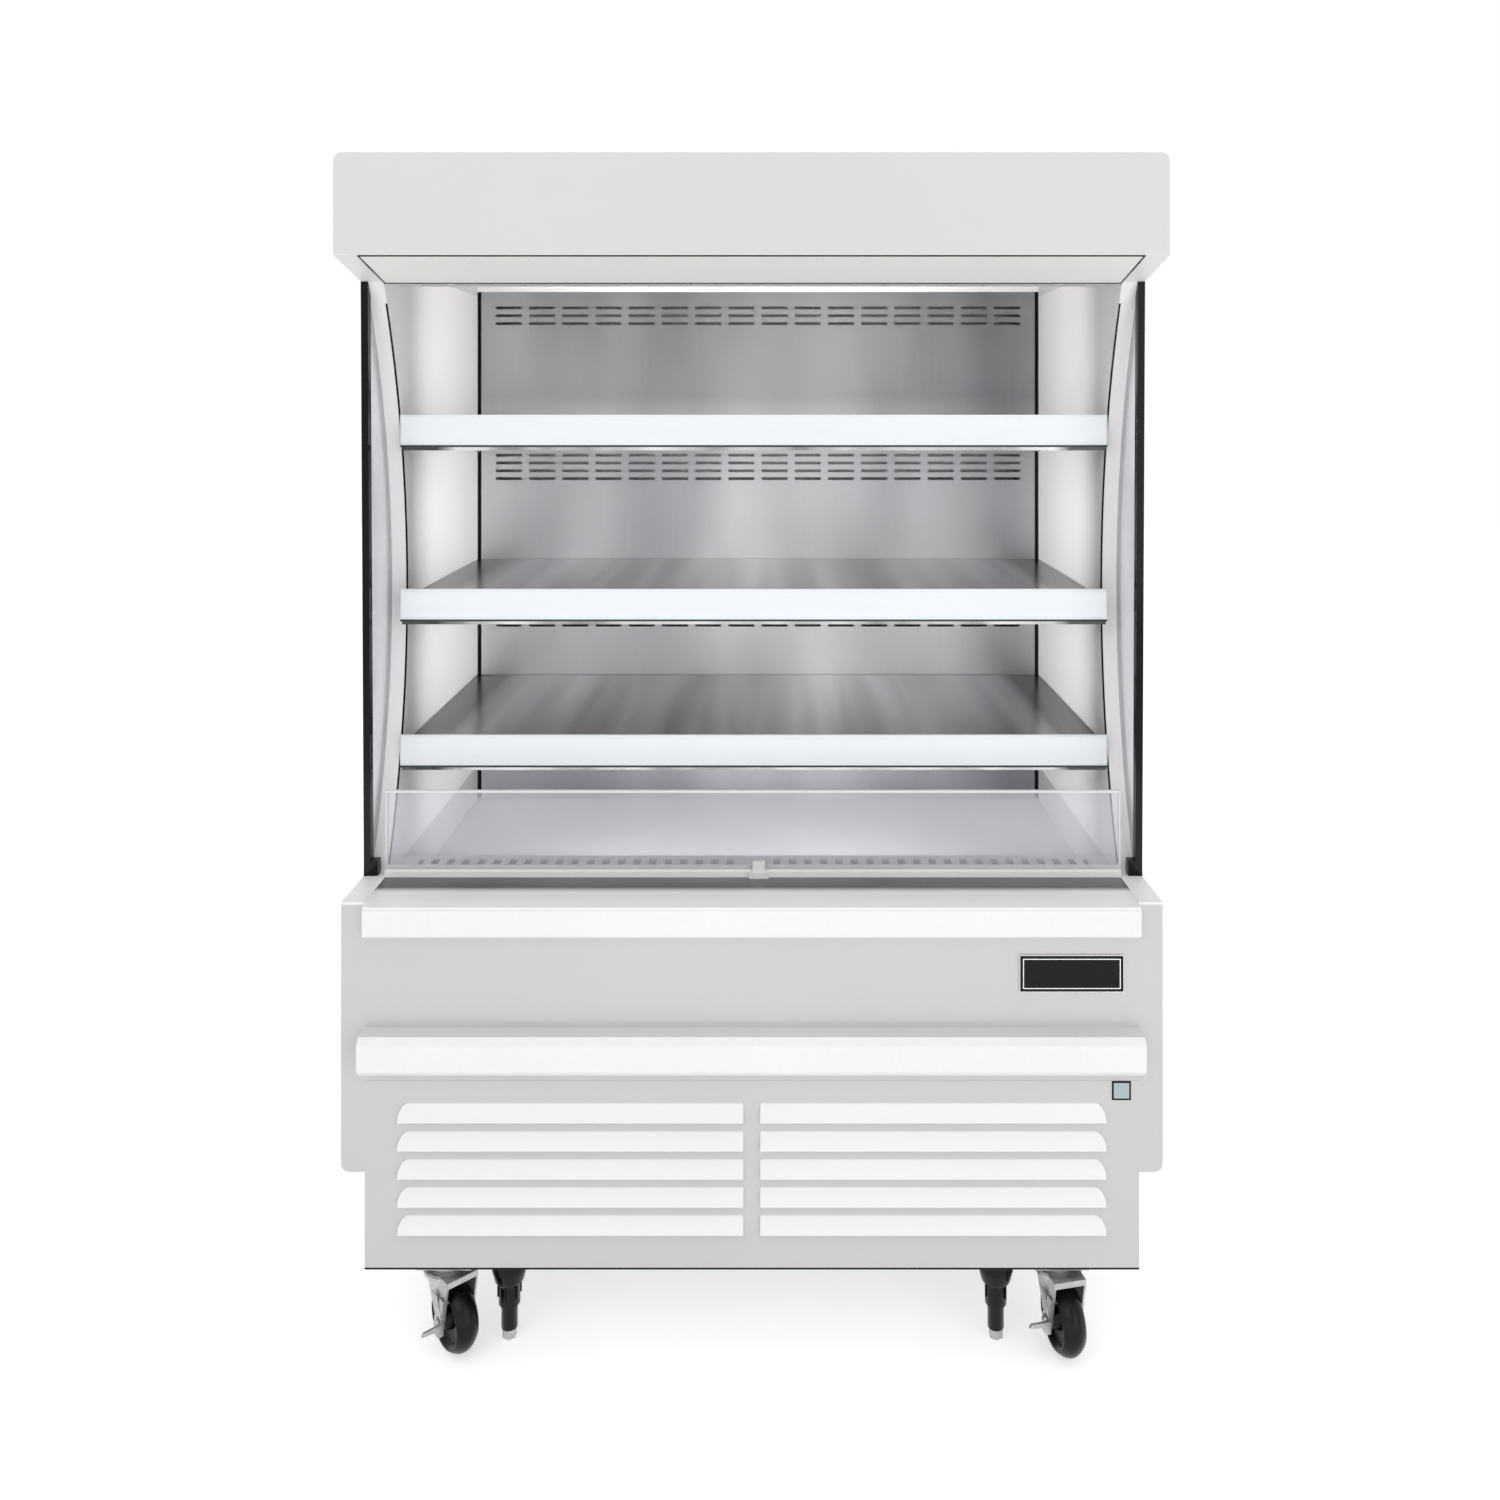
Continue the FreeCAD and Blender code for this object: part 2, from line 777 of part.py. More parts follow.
def upright(name, side):
    """Shelf post in the gap beside the back liner: a channel that opens to the front."""
    outer_x = inner
    inner_x = inner - s.liner_side_gap
    t = s.sheet_thick
    section = [
        (inner_x, liner_rear), (inner_x + t, liner_rear),
        (inner_x + t, liner_rear + s.upright_deep - t),
        (outer_x - t, liner_rear + s.upright_deep - t),
        (outer_x - t, liner_rear), (outer_x, liner_rear),
        (outer_x, liner_rear + s.upright_deep), (inner_x, liner_rear + s.upright_deep),
    ]
    if side < 0:
        section = [(-across, up) for across, up in section]
    return prism(name, "XY", [section], s.deck_top, ceiling_z)


group("shelf_uprights", [upright("upright_left", -1), upright("upright_right", 1)])

# ---------------------------------------------------------------------------------------
# Shelves, their brackets and the ticket strips on their front edges
# ---------------------------------------------------------------------------------------

strip_y = front + s.shelf_front
shelf_y = strip_y + s.strip_thick
shelf_rear = liner_y - s.shelf_rear_gap
shelf_half = inner - s.shelf_side_gap
bracket_outer = inner - s.bracket_inset
bracket_inner = bracket_outer - s.bracket_thick
shelf_tops = (s.shelf_top_1, s.shelf_top_2, s.shelf_top_3)
strips = []
brackets = []


def shelf(number, top):
    """Folded tray with a deep front lip, open underneath."""
    t = s.shelf_thick
    under = top - t
    tray = prism(f"shelf_{number}_tray", "YZ", [[
        (shelf_y, top - s.shelf_lip), (shelf_y + t, top - s.shelf_lip),
        (shelf_y + t, under), (shelf_rear - t, under), (shelf_rear - t, top - s.shelf_skirt),
        (shelf_rear, top - s.shelf_skirt), (shelf_rear, top), (shelf_y, top),
    ]], -shelf_half, shelf_half)
    sides = []
    for side_name, low_x, high_x in (("left", -shelf_half, t - shelf_half),
                                     ("right", shelf_half - t, shelf_half)):
        sides.append(block(f"shelf_{number}_{side_name}", (low_x, high_x), (shelf_y, shelf_rear),
                           (top - s.shelf_skirt, top)))
    return fuse(f"shelf_{number}", [tray] + sides)


def ticket_strip(number, top):
    """Price rail: a shallow channel, thinner at its middle, hung on the shelf's lip."""
    high = top + s.strip_above
    low = high - s.strip_tall
    lip = s.strip_thick / 3
    return prism(f"strip_{number}", "YZ", [[
        (strip_y, low), (shelf_y, low), (shelf_y, high), (strip_y + lip, high),
        (strip_y + lip, high - lip), (strip_y, high - lip * 2),
    ]], -inner + s.fit_gap, inner - s.fit_gap)


def bracket(name, low_x, high_x, top):
    """Cantilever blade: hooked into the upright, tapering to the shelf's front."""
    under = top - s.shelf_thick
    hook_rear = liner_rear + s.upright_deep - s.sheet_thick * 2
    nose_y = shelf_y + s.bracket_short
    return prism(name, "YZ", [[
        (nose_y, under - s.bracket_nose), (liner_y - s.shelf_rear_gap * 2, under - s.bracket_rear),
        (hook_rear, under - s.bracket_rear), (hook_rear, under - s.bracket_nose),
        (shelf_rear - s.shelf_thick - s.fit_gap, under - s.bracket_nose * 1.4),
        (shelf_rear - s.shelf_thick - s.fit_gap, under), (nose_y, under),
    ]], low_x, high_x)


for number, top in enumerate(shelf_tops, start=1):
    shelf(number, top)
    strips.append(ticket_strip(number, top))
    brackets.append(bracket(f"bracket_{number}_left", -bracket_outer, -bracket_inner, top))
    brackets.append(bracket(f"bracket_{number}_right", bracket_inner, bracket_outer, top))
group("ticket_strips", strips)
group("shelf_brackets", brackets)

# ---------------------------------------------------------------------------------------
# Well under the shelves: insulated tank, deck, ledge, return grille and clear riser
# ---------------------------------------------------------------------------------------

panel_inner = panel_y + s.sheet_thick
ledge_low = s.wing_top - s.sheet_thick
tank_front_rear = panel_inner + s.tank_front
riser_mid_y = glass_low_y - s.riser_thick
deck_y = front + s.deck_front
ledge_rear = riser_mid_y + s.channel_wide / 2

nose_y = upper_y + s.pane_inset
nose_start = nose_y + s.nose_long
nose_low = ledge_low - s.nose_drop
nose_radius = bulge(s.nose_drop, s.nose_long)
t = s.sheet_thick

prism("insulated_tank", "YZ", [[
    (panel_inner, s.tank_bottom), (rear_inner, s.tank_bottom), (rear_inner, tank_top),
    (tank_front_rear, tank_top), (tank_front_rear, ledge_low), (nose_start, ledge_low),
    (panel_inner, nose_low),
]], -inner, inner)

# stainless ledge, its front gently rounded over the bumper, flanged down behind the riser
prism("ledge", "YZ", [[
    (ledge_rear, s.wing_top), (nose_start, s.wing_top, nose_radius),
    (nose_y, s.wing_top - s.nose_drop), (nose_y, nose_low, -nose_radius),
    (nose_start, ledge_low), (ledge_rear - t, ledge_low),
    (ledge_rear - t, s.wing_top - s.ledge_flange), (ledge_rear, s.wing_top - s.ledge_flange),
]], -inner, inner)

channel_low_y = riser_mid_y - s.channel_wide / 2
channel_top = s.wing_top + s.channel_tall
channel_bed = s.wing_top + s.channel_floor
glass_front_y = riser_mid_y - s.riser_thick / 2
glass_rear_y = riser_mid_y + s.riser_thick / 2
prism("riser_channel", "YZ", [[
    (channel_low_y, s.wing_top), (ledge_rear, s.wing_top), (ledge_rear, channel_top),
    (glass_rear_y, channel_top), (glass_rear_y, channel_bed), (glass_front_y, channel_bed),
    (glass_front_y, channel_top - 4), (channel_low_y, channel_top - 6),
]], -inner, inner)

pane_edge = s.riser_thick / 3
prism("riser_glass", "YZ", [[
    (glass_front_y, channel_bed), (glass_rear_y, channel_bed),
    (glass_rear_y, s.riser_top - pane_edge, pane_edge), (glass_rear_y - pane_edge, s.riser_top),
    (glass_front_y + pane_edge, s.riser_top, pane_edge), (glass_front_y, s.riser_top - pane_edge),
]], -inner, inner)

# latch in the middle of the riser's foot
clip_low = s.clip_x - s.clip_wide / 2
clip_high = s.clip_x + s.clip_wide / 2
tab_low = s.clip_x - s.tab_wide / 2
tab_high = s.clip_x + s.tab_wide / 2
clip_y = channel_low_y - s.riser_thick
clip_top = s.wing_top + s.channel_tall * 0.6
fuse("riser_clip", [
    block("clip_base", (clip_low, clip_high), (clip_y, channel_low_y), (s.wing_top, clip_top)),
    block("clip_tab", (tab_low, tab_high), (channel_low_y - s.riser_thick / 2, glass_front_y),
          (channel_top, channel_top + s.tab_tall)),
    block("clip_neck", (tab_low, tab_high), (channel_low_y - s.riser_thick / 2, channel_low_y),
          (clip_top - 1, channel_top + 1)),
])

deck_pan = prism("deck_pan", "YZ", [[
    (ledge_rear + s.fit_gap, s.wing_top), (ledge_rear + s.fit_gap, s.wing_top - s.ledge_flange),
    (ledge_rear + s.fit_gap + t, s.wing_top - s.ledge_flange),
    (ledge_rear + s.fit_gap + t, ledge_low),
    (deck_y - t, ledge_low), (deck_y - t, s.deck_top - t), (liner_y - s.fit_gap, s.deck_top - t),
    (liner_y - s.fit_gap, s.deck_top), (deck_y, s.deck_top), (deck_y, s.wing_top),
]], -inner, inner)
# the return air falls through the pan's front shelf, under the grille
grille_mid = (ledge_rear + deck_y) / 2
air_low = grille_mid - s.grille_slot_deep / 2
air_high = grille_mid + s.grille_slot_deep / 2
air_far = inner - s.wall_thick
slots(deck_pan, "return_air", "XY", s.wing_top, oblong(-air_far, -s.tab_wide, air_low, air_high),
      t * 2, (air_far + s.tab_wide, as_size(2)))

grille_half = inner - s.channel_wide / 2
grille_pitch = spread(grille_half * 2, s.grille_margin, s.grille_slot_wide, s.grille_slots)
perforated(
    "return_grille", (-grille_half, grille_half), (ledge_rear + s.fit_gap, deck_y),
    (s.wing_top, s.wing_top + s.liner_thick),
    [(x, grille_mid.value, s.grille_slot_wide.value, s.grille_slot_deep.value, 0)
     for x in row_of(0, grille_pitch, s.grille_slots)], False)

# ---------------------------------------------------------------------------------------
# Front of the base
# ---------------------------------------------------------------------------------------

block("front_panel", (-inner, inner), (panel_y, panel_inner), (s.louvre_top, nose_low))


def bumper(name, face_y, low, tall, chamfer):
    """Rail with chamfered edges, hollow behind and closed at its ends."""
    high = low + tall
    wall = s.bumper_wall
    outer = prism(f"{name}_outer", "YZ", [[
        (panel_y, low), (panel_y, high), (face_y + chamfer, high), (face_y, high - chamfer),
        (face_y, low + chamfer), (face_y + chamfer, low),
    ]], -inner, inner)
    hollow = block(f"{name}_hollow", (wall - inner, inner - wall),
                   (face_y + chamfer, panel_y), (low + wall, high - wall))
    return cut(name, outer, hollow)


bumper("lower_bumper", front, s.bumper_bottom, s.bumper_tall, s.bumper_chamfer)
bumper("upper_bumper", upper_y, s.upper_bottom, nose_low - s.upper_bottom, s.upper_proud / 4)

group("blank_plates", [
    block("badge_plate", (badge_x - s.badge_wide / 2, badge_x + s.badge_wide / 2),
          (panel_y - s.badge_thick, panel_y),
          (s.badge_z - s.badge_tall / 2, s.badge_z + s.badge_tall / 2)),
    block("info_plate", (info_x - s.info_side / 2, info_x + s.info_side / 2),
          (panel_y - s.info_thick, panel_y),
          (s.info_z - s.info_side / 2, s.info_z + s.info_side / 2)),
])


def hood_shape(inset, reach):
    """One louvre's volume: a wedge that opens downwards, with a swept outer end.

    inset is how far it lies inside the hood's outer skin, reach how deep it goes behind it."""
    tall = s.louvre_tall.value
    proud = s.louvre_proud.value
    face = panel_y.value
    low = s.louvre_low_z.value
    x0 = s.louvre_inner.value + inset
    x1 = louvre_outer.value - inset
    corner = s.louvre_corner.value
    sweep = s.louvre_sweep.value
    top = low + tall - inset
    wedge = Part.makePolygon([
        FreeCAD.Vector(x0, face + reach, low), FreeCAD.Vector(x0, face - proud + inset, low),
        FreeCAD.Vector(x0, face - proud + inset, low + inset + 1),
        FreeCAD.Vector(x0, face, top), FreeCAD.Vector(x0, face + reach, top),
        FreeCAD.Vector(x0, face + reach, low),
    ])
    wedge = Part.Face(wedge).extrude(FreeCAD.Vector(x1 - x0, 0, 0))
    y = face - proud
    a = FreeCAD.Vector(x0, y, low)
    b = FreeCAD.Vector(x0, y, top - corner)
    c = FreeCAD.Vector(x0 + corner, y, top)
    d = FreeCAD.Vector(x1 - sweep, y, top)
    e = FreeCAD.Vector(x1, y, low)
    round_bc = FreeCAD.Vector(x0 + corner * (1 - math.sqrt(0.5)), y, top - corner * (1 - math.sqrt(0.5)))
    round_de = FreeCAD.Vector(x1 - sweep * (1 - math.sqrt(0.5)), y, low + (top - low) * math.sqrt(0.5))
    outline = Part.Wire([
        Part.makeLine(a, b), Part.Arc(b, round_bc, c).toShape(), Part.makeLine(c, d),
        Part.Arc(d, round_de, e).toShape(), Part.makeLine(e, a),
    ])
    front_view = Part.Face(outline).extrude(FreeCAD.Vector(0, proud + reach, 0))
    return wedge.common(front_view)


def louvre_panel():
    """Removable tray with two columns of louvres pressed out of its face."""
    thick = s.sheet_thick.value
    half = inner.value
    low = s.panel_bottom.value
    high = s.louvre_top.value - s.fit_gap.value
    deep = s.tray_deep.value
    tray = Part.makeBox(2 * half, deep, high - low, FreeCAD.Vector(-half, panel_y.value, low))
    hollow = Part.makeBox(2 * (half - thick), deep, high - low - 2 * thick,
                          FreeCAD.Vector(thick - half, panel_y.value + thick, low + thick))
    tray = tray.cut(hollow)
    outer = hood_shape(0, thick)
    void = hood_shape(thick, thick * 2)
    mirror = FreeCAD.Vector(1, 0, 0)
    origin = FreeCAD.Vector()
    hoods = []
    voids = []
    for row in range(int(s.louvre_rows.value)):
        lift = FreeCAD.Vector(0, 0, row * s.louvre_pitch.value)
        for shape, store in ((outer, hoods), (void, voids)):
            right = shape.translated(lift)
            store.append(right)
            store.append(right.mirror(origin, mirror))
    return tray.multiFuse(hoods).cut(voids).removeSplitter()


solid("louvre_panel", louvre_panel())

# ---------------------------------------------------------------------------------------
# Base: pan with side skirts on a ring of channels, rear grille
# ---------------------------------------------------------------------------------------

rail_low = s.pan_z - s.rail_tall
pan_front = panel_y + s.tray_deep + s.fit_gap
pan_rear = rear - s.tray_deep - s.fit_gap
prism("base_pan", "XZ", [[
    (-inner, s.panel_bottom), (t - inner, s.panel_bottom), (t - inner, s.pan_z),
    (inner - t, s.pan_z), (inner - t, s.panel_bottom), (inner, s.panel_bottom),
    (inner, s.skirt_top), (inner - t, s.skirt_top), (inner - t, s.pan_z + t),
    (t - inner, s.pan_z + t), (t - inner, s.skirt_top), (-inner, s.skirt_top),
]], pan_front, pan_rear)


def trough(name, plane, middle, half, low, low_end, high_end):
    """Channel that opens upwards, closed on top by the base pan."""
    w = s.rail_thick
    section = [
        (middle - half, low), (middle + half, low), (middle + half, s.pan_z),
        (middle + half - w, s.pan_z), (middle + half - w, low + w),
        (middle - half + w, low + w), (middle - half + w, s.pan_z), (middle - half, s.pan_z),
    ]
    return prism(name, plane, [section], low_end, high_end)


rail_half_wide = s.rail_wide / 2
side_rail_x = rail_half - rail_half_wide
side_rail_y = rail_y - rail_half_wide
group("base_rails", [
    trough("rail_front", "YZ", -rail_y, rail_half_wide, rail_low, -rail_half, rail_half),
    trough("rail_rear", "YZ", rail_y, rail_half_wide, rail_low, -rail_half, rail_half),
    trough("rail_left", "XZ", -side_rail_x, rail_half_wide, rail_low + s.plate_wide / 4,
           -side_rail_y, side_rail_y),
    trough("rail_right", "XZ", side_rail_x, rail_half_wide, rail_low + s.plate_wide / 4,
           -side_rail_y, side_rail_y),
])

vent_pitch = s.cell_wide * 2 + s.slot_rise
vents = [(x, z, s.cell_wide.value * 2, s.slot_high.value, 0)
         for x in row_of(0, vent_pitch, 8)
         for z in row_of(s.pan_z + s.skirt_top / 3, s.slot_rise * 1.5, 5)]
perforated("rear_grille", (-inner, inner), (s.panel_bottom, s.tank_bottom - s.fit_gap),
           (rear - s.sheet_thick, rear), vents, True)

# ---------------------------------------------------------------------------------------
# Refrigeration: evaporator and fans in the tank, condensing unit on the base pan
# ---------------------------------------------------------------------------------------

floor_z = s.pan_z + s.sheet_thick


def finned_coil(name, x, y, z, fins):
    """Heat exchanger block with its fin packs parted by grooves."""
    coil = prism(name, "XY", [oblong(x[0], x[1], y[0], y[1])], z[0], z[1])
    pitch = (x[1] - x[0]) / fins
    groove = pitch * 0.3
    start = x[0] + pitch - groove / 2
    sketch_low = oblong(start, start + groove, y[0] - 1, y[0] + (y[1] - y[0]) * 0.4)
    return slots(coil, f"{name}_fins", "XY", z[1], sketch_low, (z[1] - z[0]) * 0.92,
                 (pitch, fins - 1))


coil_y = front + s.coil_front
finned_coil("evaporator_coil", (-s.coil_half, s.coil_half), (coil_y, coil_y + s.coil_deep),
            (tank_top, tank_top + s.coil_tall), s.coil_fins)

condenser_y = pan_front + s.condenser_front - s.tray_deep * 3
finned_coil("condenser_coil",
            (-s.condenser_x - s.condenser_wide / 2, -s.condenser_x + s.condenser_wide / 2),
            (condenser_y, condenser_y + s.condenser_deep),
            (floor_z, floor_z + s.condenser_tall), s.coil_fins / 2)


def fan(name, centre, radius, hub_radius, bore, thick, blades):
    """Axial fan about +Y: a hub with a blind bore and pitched blades with rounded tips."""
    x, y, z = (as_size(value).value for value in centre)
    axis = FreeCAD.Vector(0, 1, 0)
    start = FreeCAD.Vector(x, y, z)
    hub = Part.makeCylinder(hub_radius, thick, start, axis)
    shape = hub
    chord = 2 * math.pi * hub_radius / blades * 1.25
    span = Part.makeCylinder(radius, thick, start, axis)
    for index in range(blades):
        blade = Part.makeBox(radius, chord, 2.0, FreeCAD.Vector(hub_radius * 0.7, -chord / 2, -1))
        blade.rotate(FreeCAD.Vector(), FreeCAD.Vector(1, 0, 0), 32)
        blade.rotate(FreeCAD.Vector(), FreeCAD.Vector(1, 0, 0), 90)
        blade.rotate(FreeCAD.Vector(), FreeCAD.Vector(0, 1, 0), index * 360.0 / blades)
        blade.translate(FreeCAD.Vector(x, y + thick / 2, z))
        shape = shape.fuse(blade.common(span))
    hole = Part.makeCylinder(bore, thick * 0.7, start + axis * (thick * 0.3), axis)
    return solid(name, shape.cut(hole).removeSplitter())


def fan_carrier(name, plate, holes, motor_radius, motor_long):
    """Sheet with a round opening for each fan and a motor held behind it on three arms."""
    x, y, z = plate
    rings = [(cx, cz, hole) for cx, cz, hole, shaft in holes]
    pieces = [prism(f"{name}_plate", "XZ", [oblong(*x, *z)] + rings, y[0], y[1])]
    for index, (cx, cz, hole, shaft) in enumerate(holes):
        motor_y = y[1] + shaft
        pieces.append(rod(f"{name}_motor_{index}", "y", (cx, motor_y, cz), motor_radius, motor_long))
        pieces.append(rod(f"{name}_shaft_{index}", "y", (cx, motor_y - shaft, cz),
                          s.foot_stem / 2, shaft))
        for arm in (0, 1):
            side = -1 if arm == 0 else 1
            reach = hole + s.rail_thick
            arm_x = sorted((cx + side * motor_radius * 0.8, cx + side * reach),
                           key=lambda size: as_size(size).value)
            pieces.append(block(f"{name}_arm_{index}_{arm}", arm_x,
                                (motor_y, motor_y + s.rail_thick),
                                (cz - s.foot_stem, cz + s.foot_stem)))
            foot_x = sorted((cx + side * reach, cx + side * (reach + s.rail_thick)),
                            key=lambda size: as_size(size).value)
            pieces.append(block(f"{name}_foot_{index}_{arm}", foot_x,
                                (y[1], motor_y + s.rail_thick),
                                (cz - s.foot_stem, cz + s.foot_stem)))
    return fuse(name, pieces)


fan_plate_y = front + s.fan_plate_y
fan_z = (tank_top + s.deck_top) / 2
fan_hole = s.fan_radius + s.fan_ring_gap
fan_shaft = s.fan_thick * 0.5
fan_carrier("evaporator_fan_plate",
            ((-inner, inner), (fan_plate_y - t, fan_plate_y), (tank_top, s.deck_top - t)),
            [(-s.fan_x, fan_z, fan_hole, fan_shaft), (s.fan_x, fan_z, fan_hole, fan_shaft)],
            s.collar_low, s.fan_thick)
small_bore = s.foot_stem.value / 2 + s.fit_gap.value
for side_name, fan_x in (("left", -s.fan_x), ("right", s.fan_x)):
    fan(f"evaporator_fan_{side_name}", (fan_x, fan_plate_y - s.fan_thick * 0.8, fan_z),
        s.fan_radius.value, s.fan_radius.value * 0.32, small_bore, s.fan_thick.value, 5)

shroud_y = condenser_y + s.condenser_deep + s.fan_thick
big_fan_z = floor_z + s.condenser_tall / 2
big_hole = s.big_fan_radius + s.fan_ring_gap
fan_carrier("condenser_shroud",
            ((-s.condenser_x - s.condenser_wide / 2, -s.condenser_x + s.condenser_wide / 2),
             (shroud_y, shroud_y + t), (floor_z, floor_z + s.condenser_tall)),
            [(-s.condenser_x, big_fan_z, big_hole, s.fan_thick)],
            s.collar_radius + s.foot_stem, s.fan_thick * 2)
fan("condenser_fan", (-s.condenser_x, shroud_y - s.fan_thick * 0.6, big_fan_z),
    s.big_fan_radius.value, s.big_fan_radius.value * 0.25, small_bore,
    s.fan_thick.value * 1.3, 5)

# hermetic compressor: a drawn can with bevelled ends on a foot plate with four rubber mounts
can_low = floor_z + s.compressor_foot + s.rail_thick
waist = s.compressor_radius * 0.96
dome_low = can_low + s.compressor_tall * 0.7
dome_tall = s.compressor_tall * 0.3
can = revolved("compressor_can", "XZ", [
    (0, can_low), (s.compressor_radius * 0.6, can_low),
    (s.compressor_radius, can_low + s.compressor_radius * 0.4),
    (s.compressor_radius, can_low + s.compressor_tall * 0.45),
    (waist, can_low + s.compressor_tall * 0.5), (waist, dome_low),
    (waist * 0.86, dome_low + dome_tall * 0.55), (waist * 0.5, dome_low + dome_tall),
    (0, dome_low + dome_tall),
], "V_Axis")
place(can, s.compressor_x, s.compressor_y, 0)
mount_x = s.compressor_radius * 1.05
mount_y = s.compressor_radius * 0.7
feet = []
for index, (sx, sy) in enumerate(((-1, -1), (1, -1), (-1, 1), (1, 1))):
    feet.append(rod(f"compressor_mount_{index}", "z",
                    (s.compressor_x + sx * mount_x, s.compressor_y + sy * mount_y, floor_z),
                    s.compressor_foot * 0.8, s.compressor_foot + s.rail_thick + s.sheet_thick))
foot_plate = block(
    "compressor_plate",
    (s.compressor_x - mount_x - s.compressor_foot, s.compressor_x + mount_x + s.compressor_foot),
    (s.compressor_y - mount_y - s.compressor_foot, s.compressor_y + mount_y + s.compressor_foot),
    (floor_z + s.compressor_foot, can_low + s.sheet_thick))
terminal = block(
    "compressor_terminal",
    (s.compressor_x + s.compressor_radius * 0.8, s.compressor_x + s.compressor_radius * 1.3),
    (s.compressor_y - s.compressor_foot * 2, s.compressor_y + s.compressor_foot * 2),
    (can_low + s.compressor_tall * 0.2, can_low + s.compressor_tall * 0.5))
fuse("compressor", [can, foot_plate, terminal] + feet)


def pipe(points, radius, bend):
    """Copper tube along straight runs joined by tangent arcs."""
    edges = []
    start = points[0]
    for before, corner, after in zip(points, points[1:], points[2:]):
        inward = (before - corner).normalize()
        onward = (after - corner).normalize()
        a = corner + inward * bend
        b = corner + onward * bend
        middle = corner + (inward + onward) * (bend * (1 - math.sqrt(0.5)))
        edges.append(Part.makeLine(start, a))
        edges.append(Part.Arc(a, middle, b).toShape())
        start = b
    edges.append(Part.makeLine(start, points[-1]))
    path = Part.Wire(edges)
    circle = Part.makeCircle(radius, points[0], points[1] - points[0])
    return path.makePipeShell([Part.Wire(circle)], True, False)


can_top = (can_low + s.compressor_tall * 0.6).value
can_x = s.compressor_x.value
can_y = s.compressor_y.value
can_edge = (s.compressor_radius * 0.96).value
tube = s.pipe_radius.value
bend = tube * 4
coil_edge = (-s.condenser_x + s.condenser_wide / 2).value
coil_mid = (condenser_y + s.condenser_deep / 2).value
suction_x = can_x - can_edge - bend * 3
discharge = pipe([
    FreeCAD.Vector(can_x, can_y - can_edge, can_top),
    FreeCAD.Vector(can_x, coil_mid, can_top),
    FreeCAD.Vector(coil_edge, coil_mid, can_top),
], tube, bend)
suction = pipe([
    FreeCAD.Vector(can_x - can_edge, can_y, can_top),
    FreeCAD.Vector(suction_x, can_y, can_top),
    FreeCAD.Vector(suction_x, can_y, s.tank_bottom.value),
], tube, bend)
solid("refrigerant_pipes", Part.makeCompound([discharge, suction]))

# control box against the rear grille, with a thermostat knob on its front
control_rear = rear - s.sheet_thick
fuse("control_box", [
    block("control_case",
          (-control_x - s.control_wide / 2, -control_x + s.control_wide / 2),
          (control_rear - s.control_deep, control_rear), (floor_z, floor_z + s.control_tall)),
    rod("control_knob", "y", (-control_x, control_rear - s.control_deep - s.foot_stem,
                              floor_z + s.control_tall * 0.7), s.tube_radius, s.foot_stem * 2),
])

tray_low = floor_z
tray_x = s.tray_wide / 2
tray_y = front + s.tray_y + s.tray_long
drain_block = block("drain_block", (-tray_x, tray_x), (tray_y, tray_y + s.tray_long),
                    (tray_low, tray_low + s.tray_tall))
drain_hollow = block("drain_hollow", (t * 2 - tray_x, tray_x - t * 2),
                     (tray_y + t * 2, tray_y + s.tray_long - t * 2),
                     (tray_low + t * 2, tray_low + s.tray_tall))
cut("drain_pan", drain_block, drain_hollow)

# ---------------------------------------------------------------------------------------
# Swivel castors and levelling legs
# ---------------------------------------------------------------------------------------

plate_low = rail_low - s.plate_thick
axle_y = -s.castor_trail
arm_in = s.wheel_thick / 2 + s.arm_gap
arm_out = arm_in + s.arm_thick
crown_top = plate_low - s.foot_z - s.swivel_gap
pedal_in = arm_out + s.fit_gap
pedal_out = pedal_in + s.pedal_thick
axle_end = pedal_out + s.fit_gap + s.plate_thick
boss = s.hub_radius * 0.75


def castor_plate(name, x, y):
    plate = block(f"{name}_plate", (x - s.plate_wide / 2, x + s.plate_wide / 2),
                  (y - rail_half_wide, y + rail_half_wide), (plate_low, rail_low))
    race = rod(f"{name}_race", "z", (x, y, plate_low - s.foot_z), s.race_radius, s.foot_z)
    king = rod(f"{name}_king", "z", (x, y, plate_low - s.foot_z * 1.6), s.axle_radius, s.foot_z * 2)
    return fuse(name, [plate, race, king])


def castor_fork(name, x, y, yaw):
    """Swivel head with two tapering arms and the axle through them."""
    arm_view = [
        (s.crown_radius * 0.72, s.crown_z), (axle_y + boss, s.wheel_radius, -boss * 1.0001),
        (axle_y - boss, s.wheel_radius), (-s.crown_radius * 1.3, s.crown_z),
    ]
    king_hole = rod(f"{name}_hole", "z", (0, 0, s.crown_z - 1),
                    s.axle_radius + s.swivel_gap, crown_top - s.crown_z + 2)
    crown = cut(f"{name}_crown", rod(f"{name}_disc", "z", (0, 0, s.crown_z), s.crown_radius,
                                     crown_top - s.crown_z), king_hole)
    pieces = [crown]
    spans = (("left", -arm_out, -arm_in), ("right", arm_in, arm_out))
    for side_name, low_x, high_x in spans:
        pieces.append(prism(f"{name}_arm_{side_name}", "YZ", [arm_view], low_x, high_x))
    # bridge that joins the arms in front of the swivel head
    pieces.append(block(f"{name}_bridge", (-arm_out, arm_out),
                        (-s.crown_radius * 1.3, -s.crown_radius * 0.7),
                        (s.crown_z - s.sheet_thick, crown_top)))
    pieces.append(rod(f"{name}_axle", "x", (-axle_end, axle_y, s.wheel_radius),
                      s.axle_radius, axle_end * 2))
    fork = fuse(f"{name}", pieces)
    return place(fork, x, y, 0, yaw)


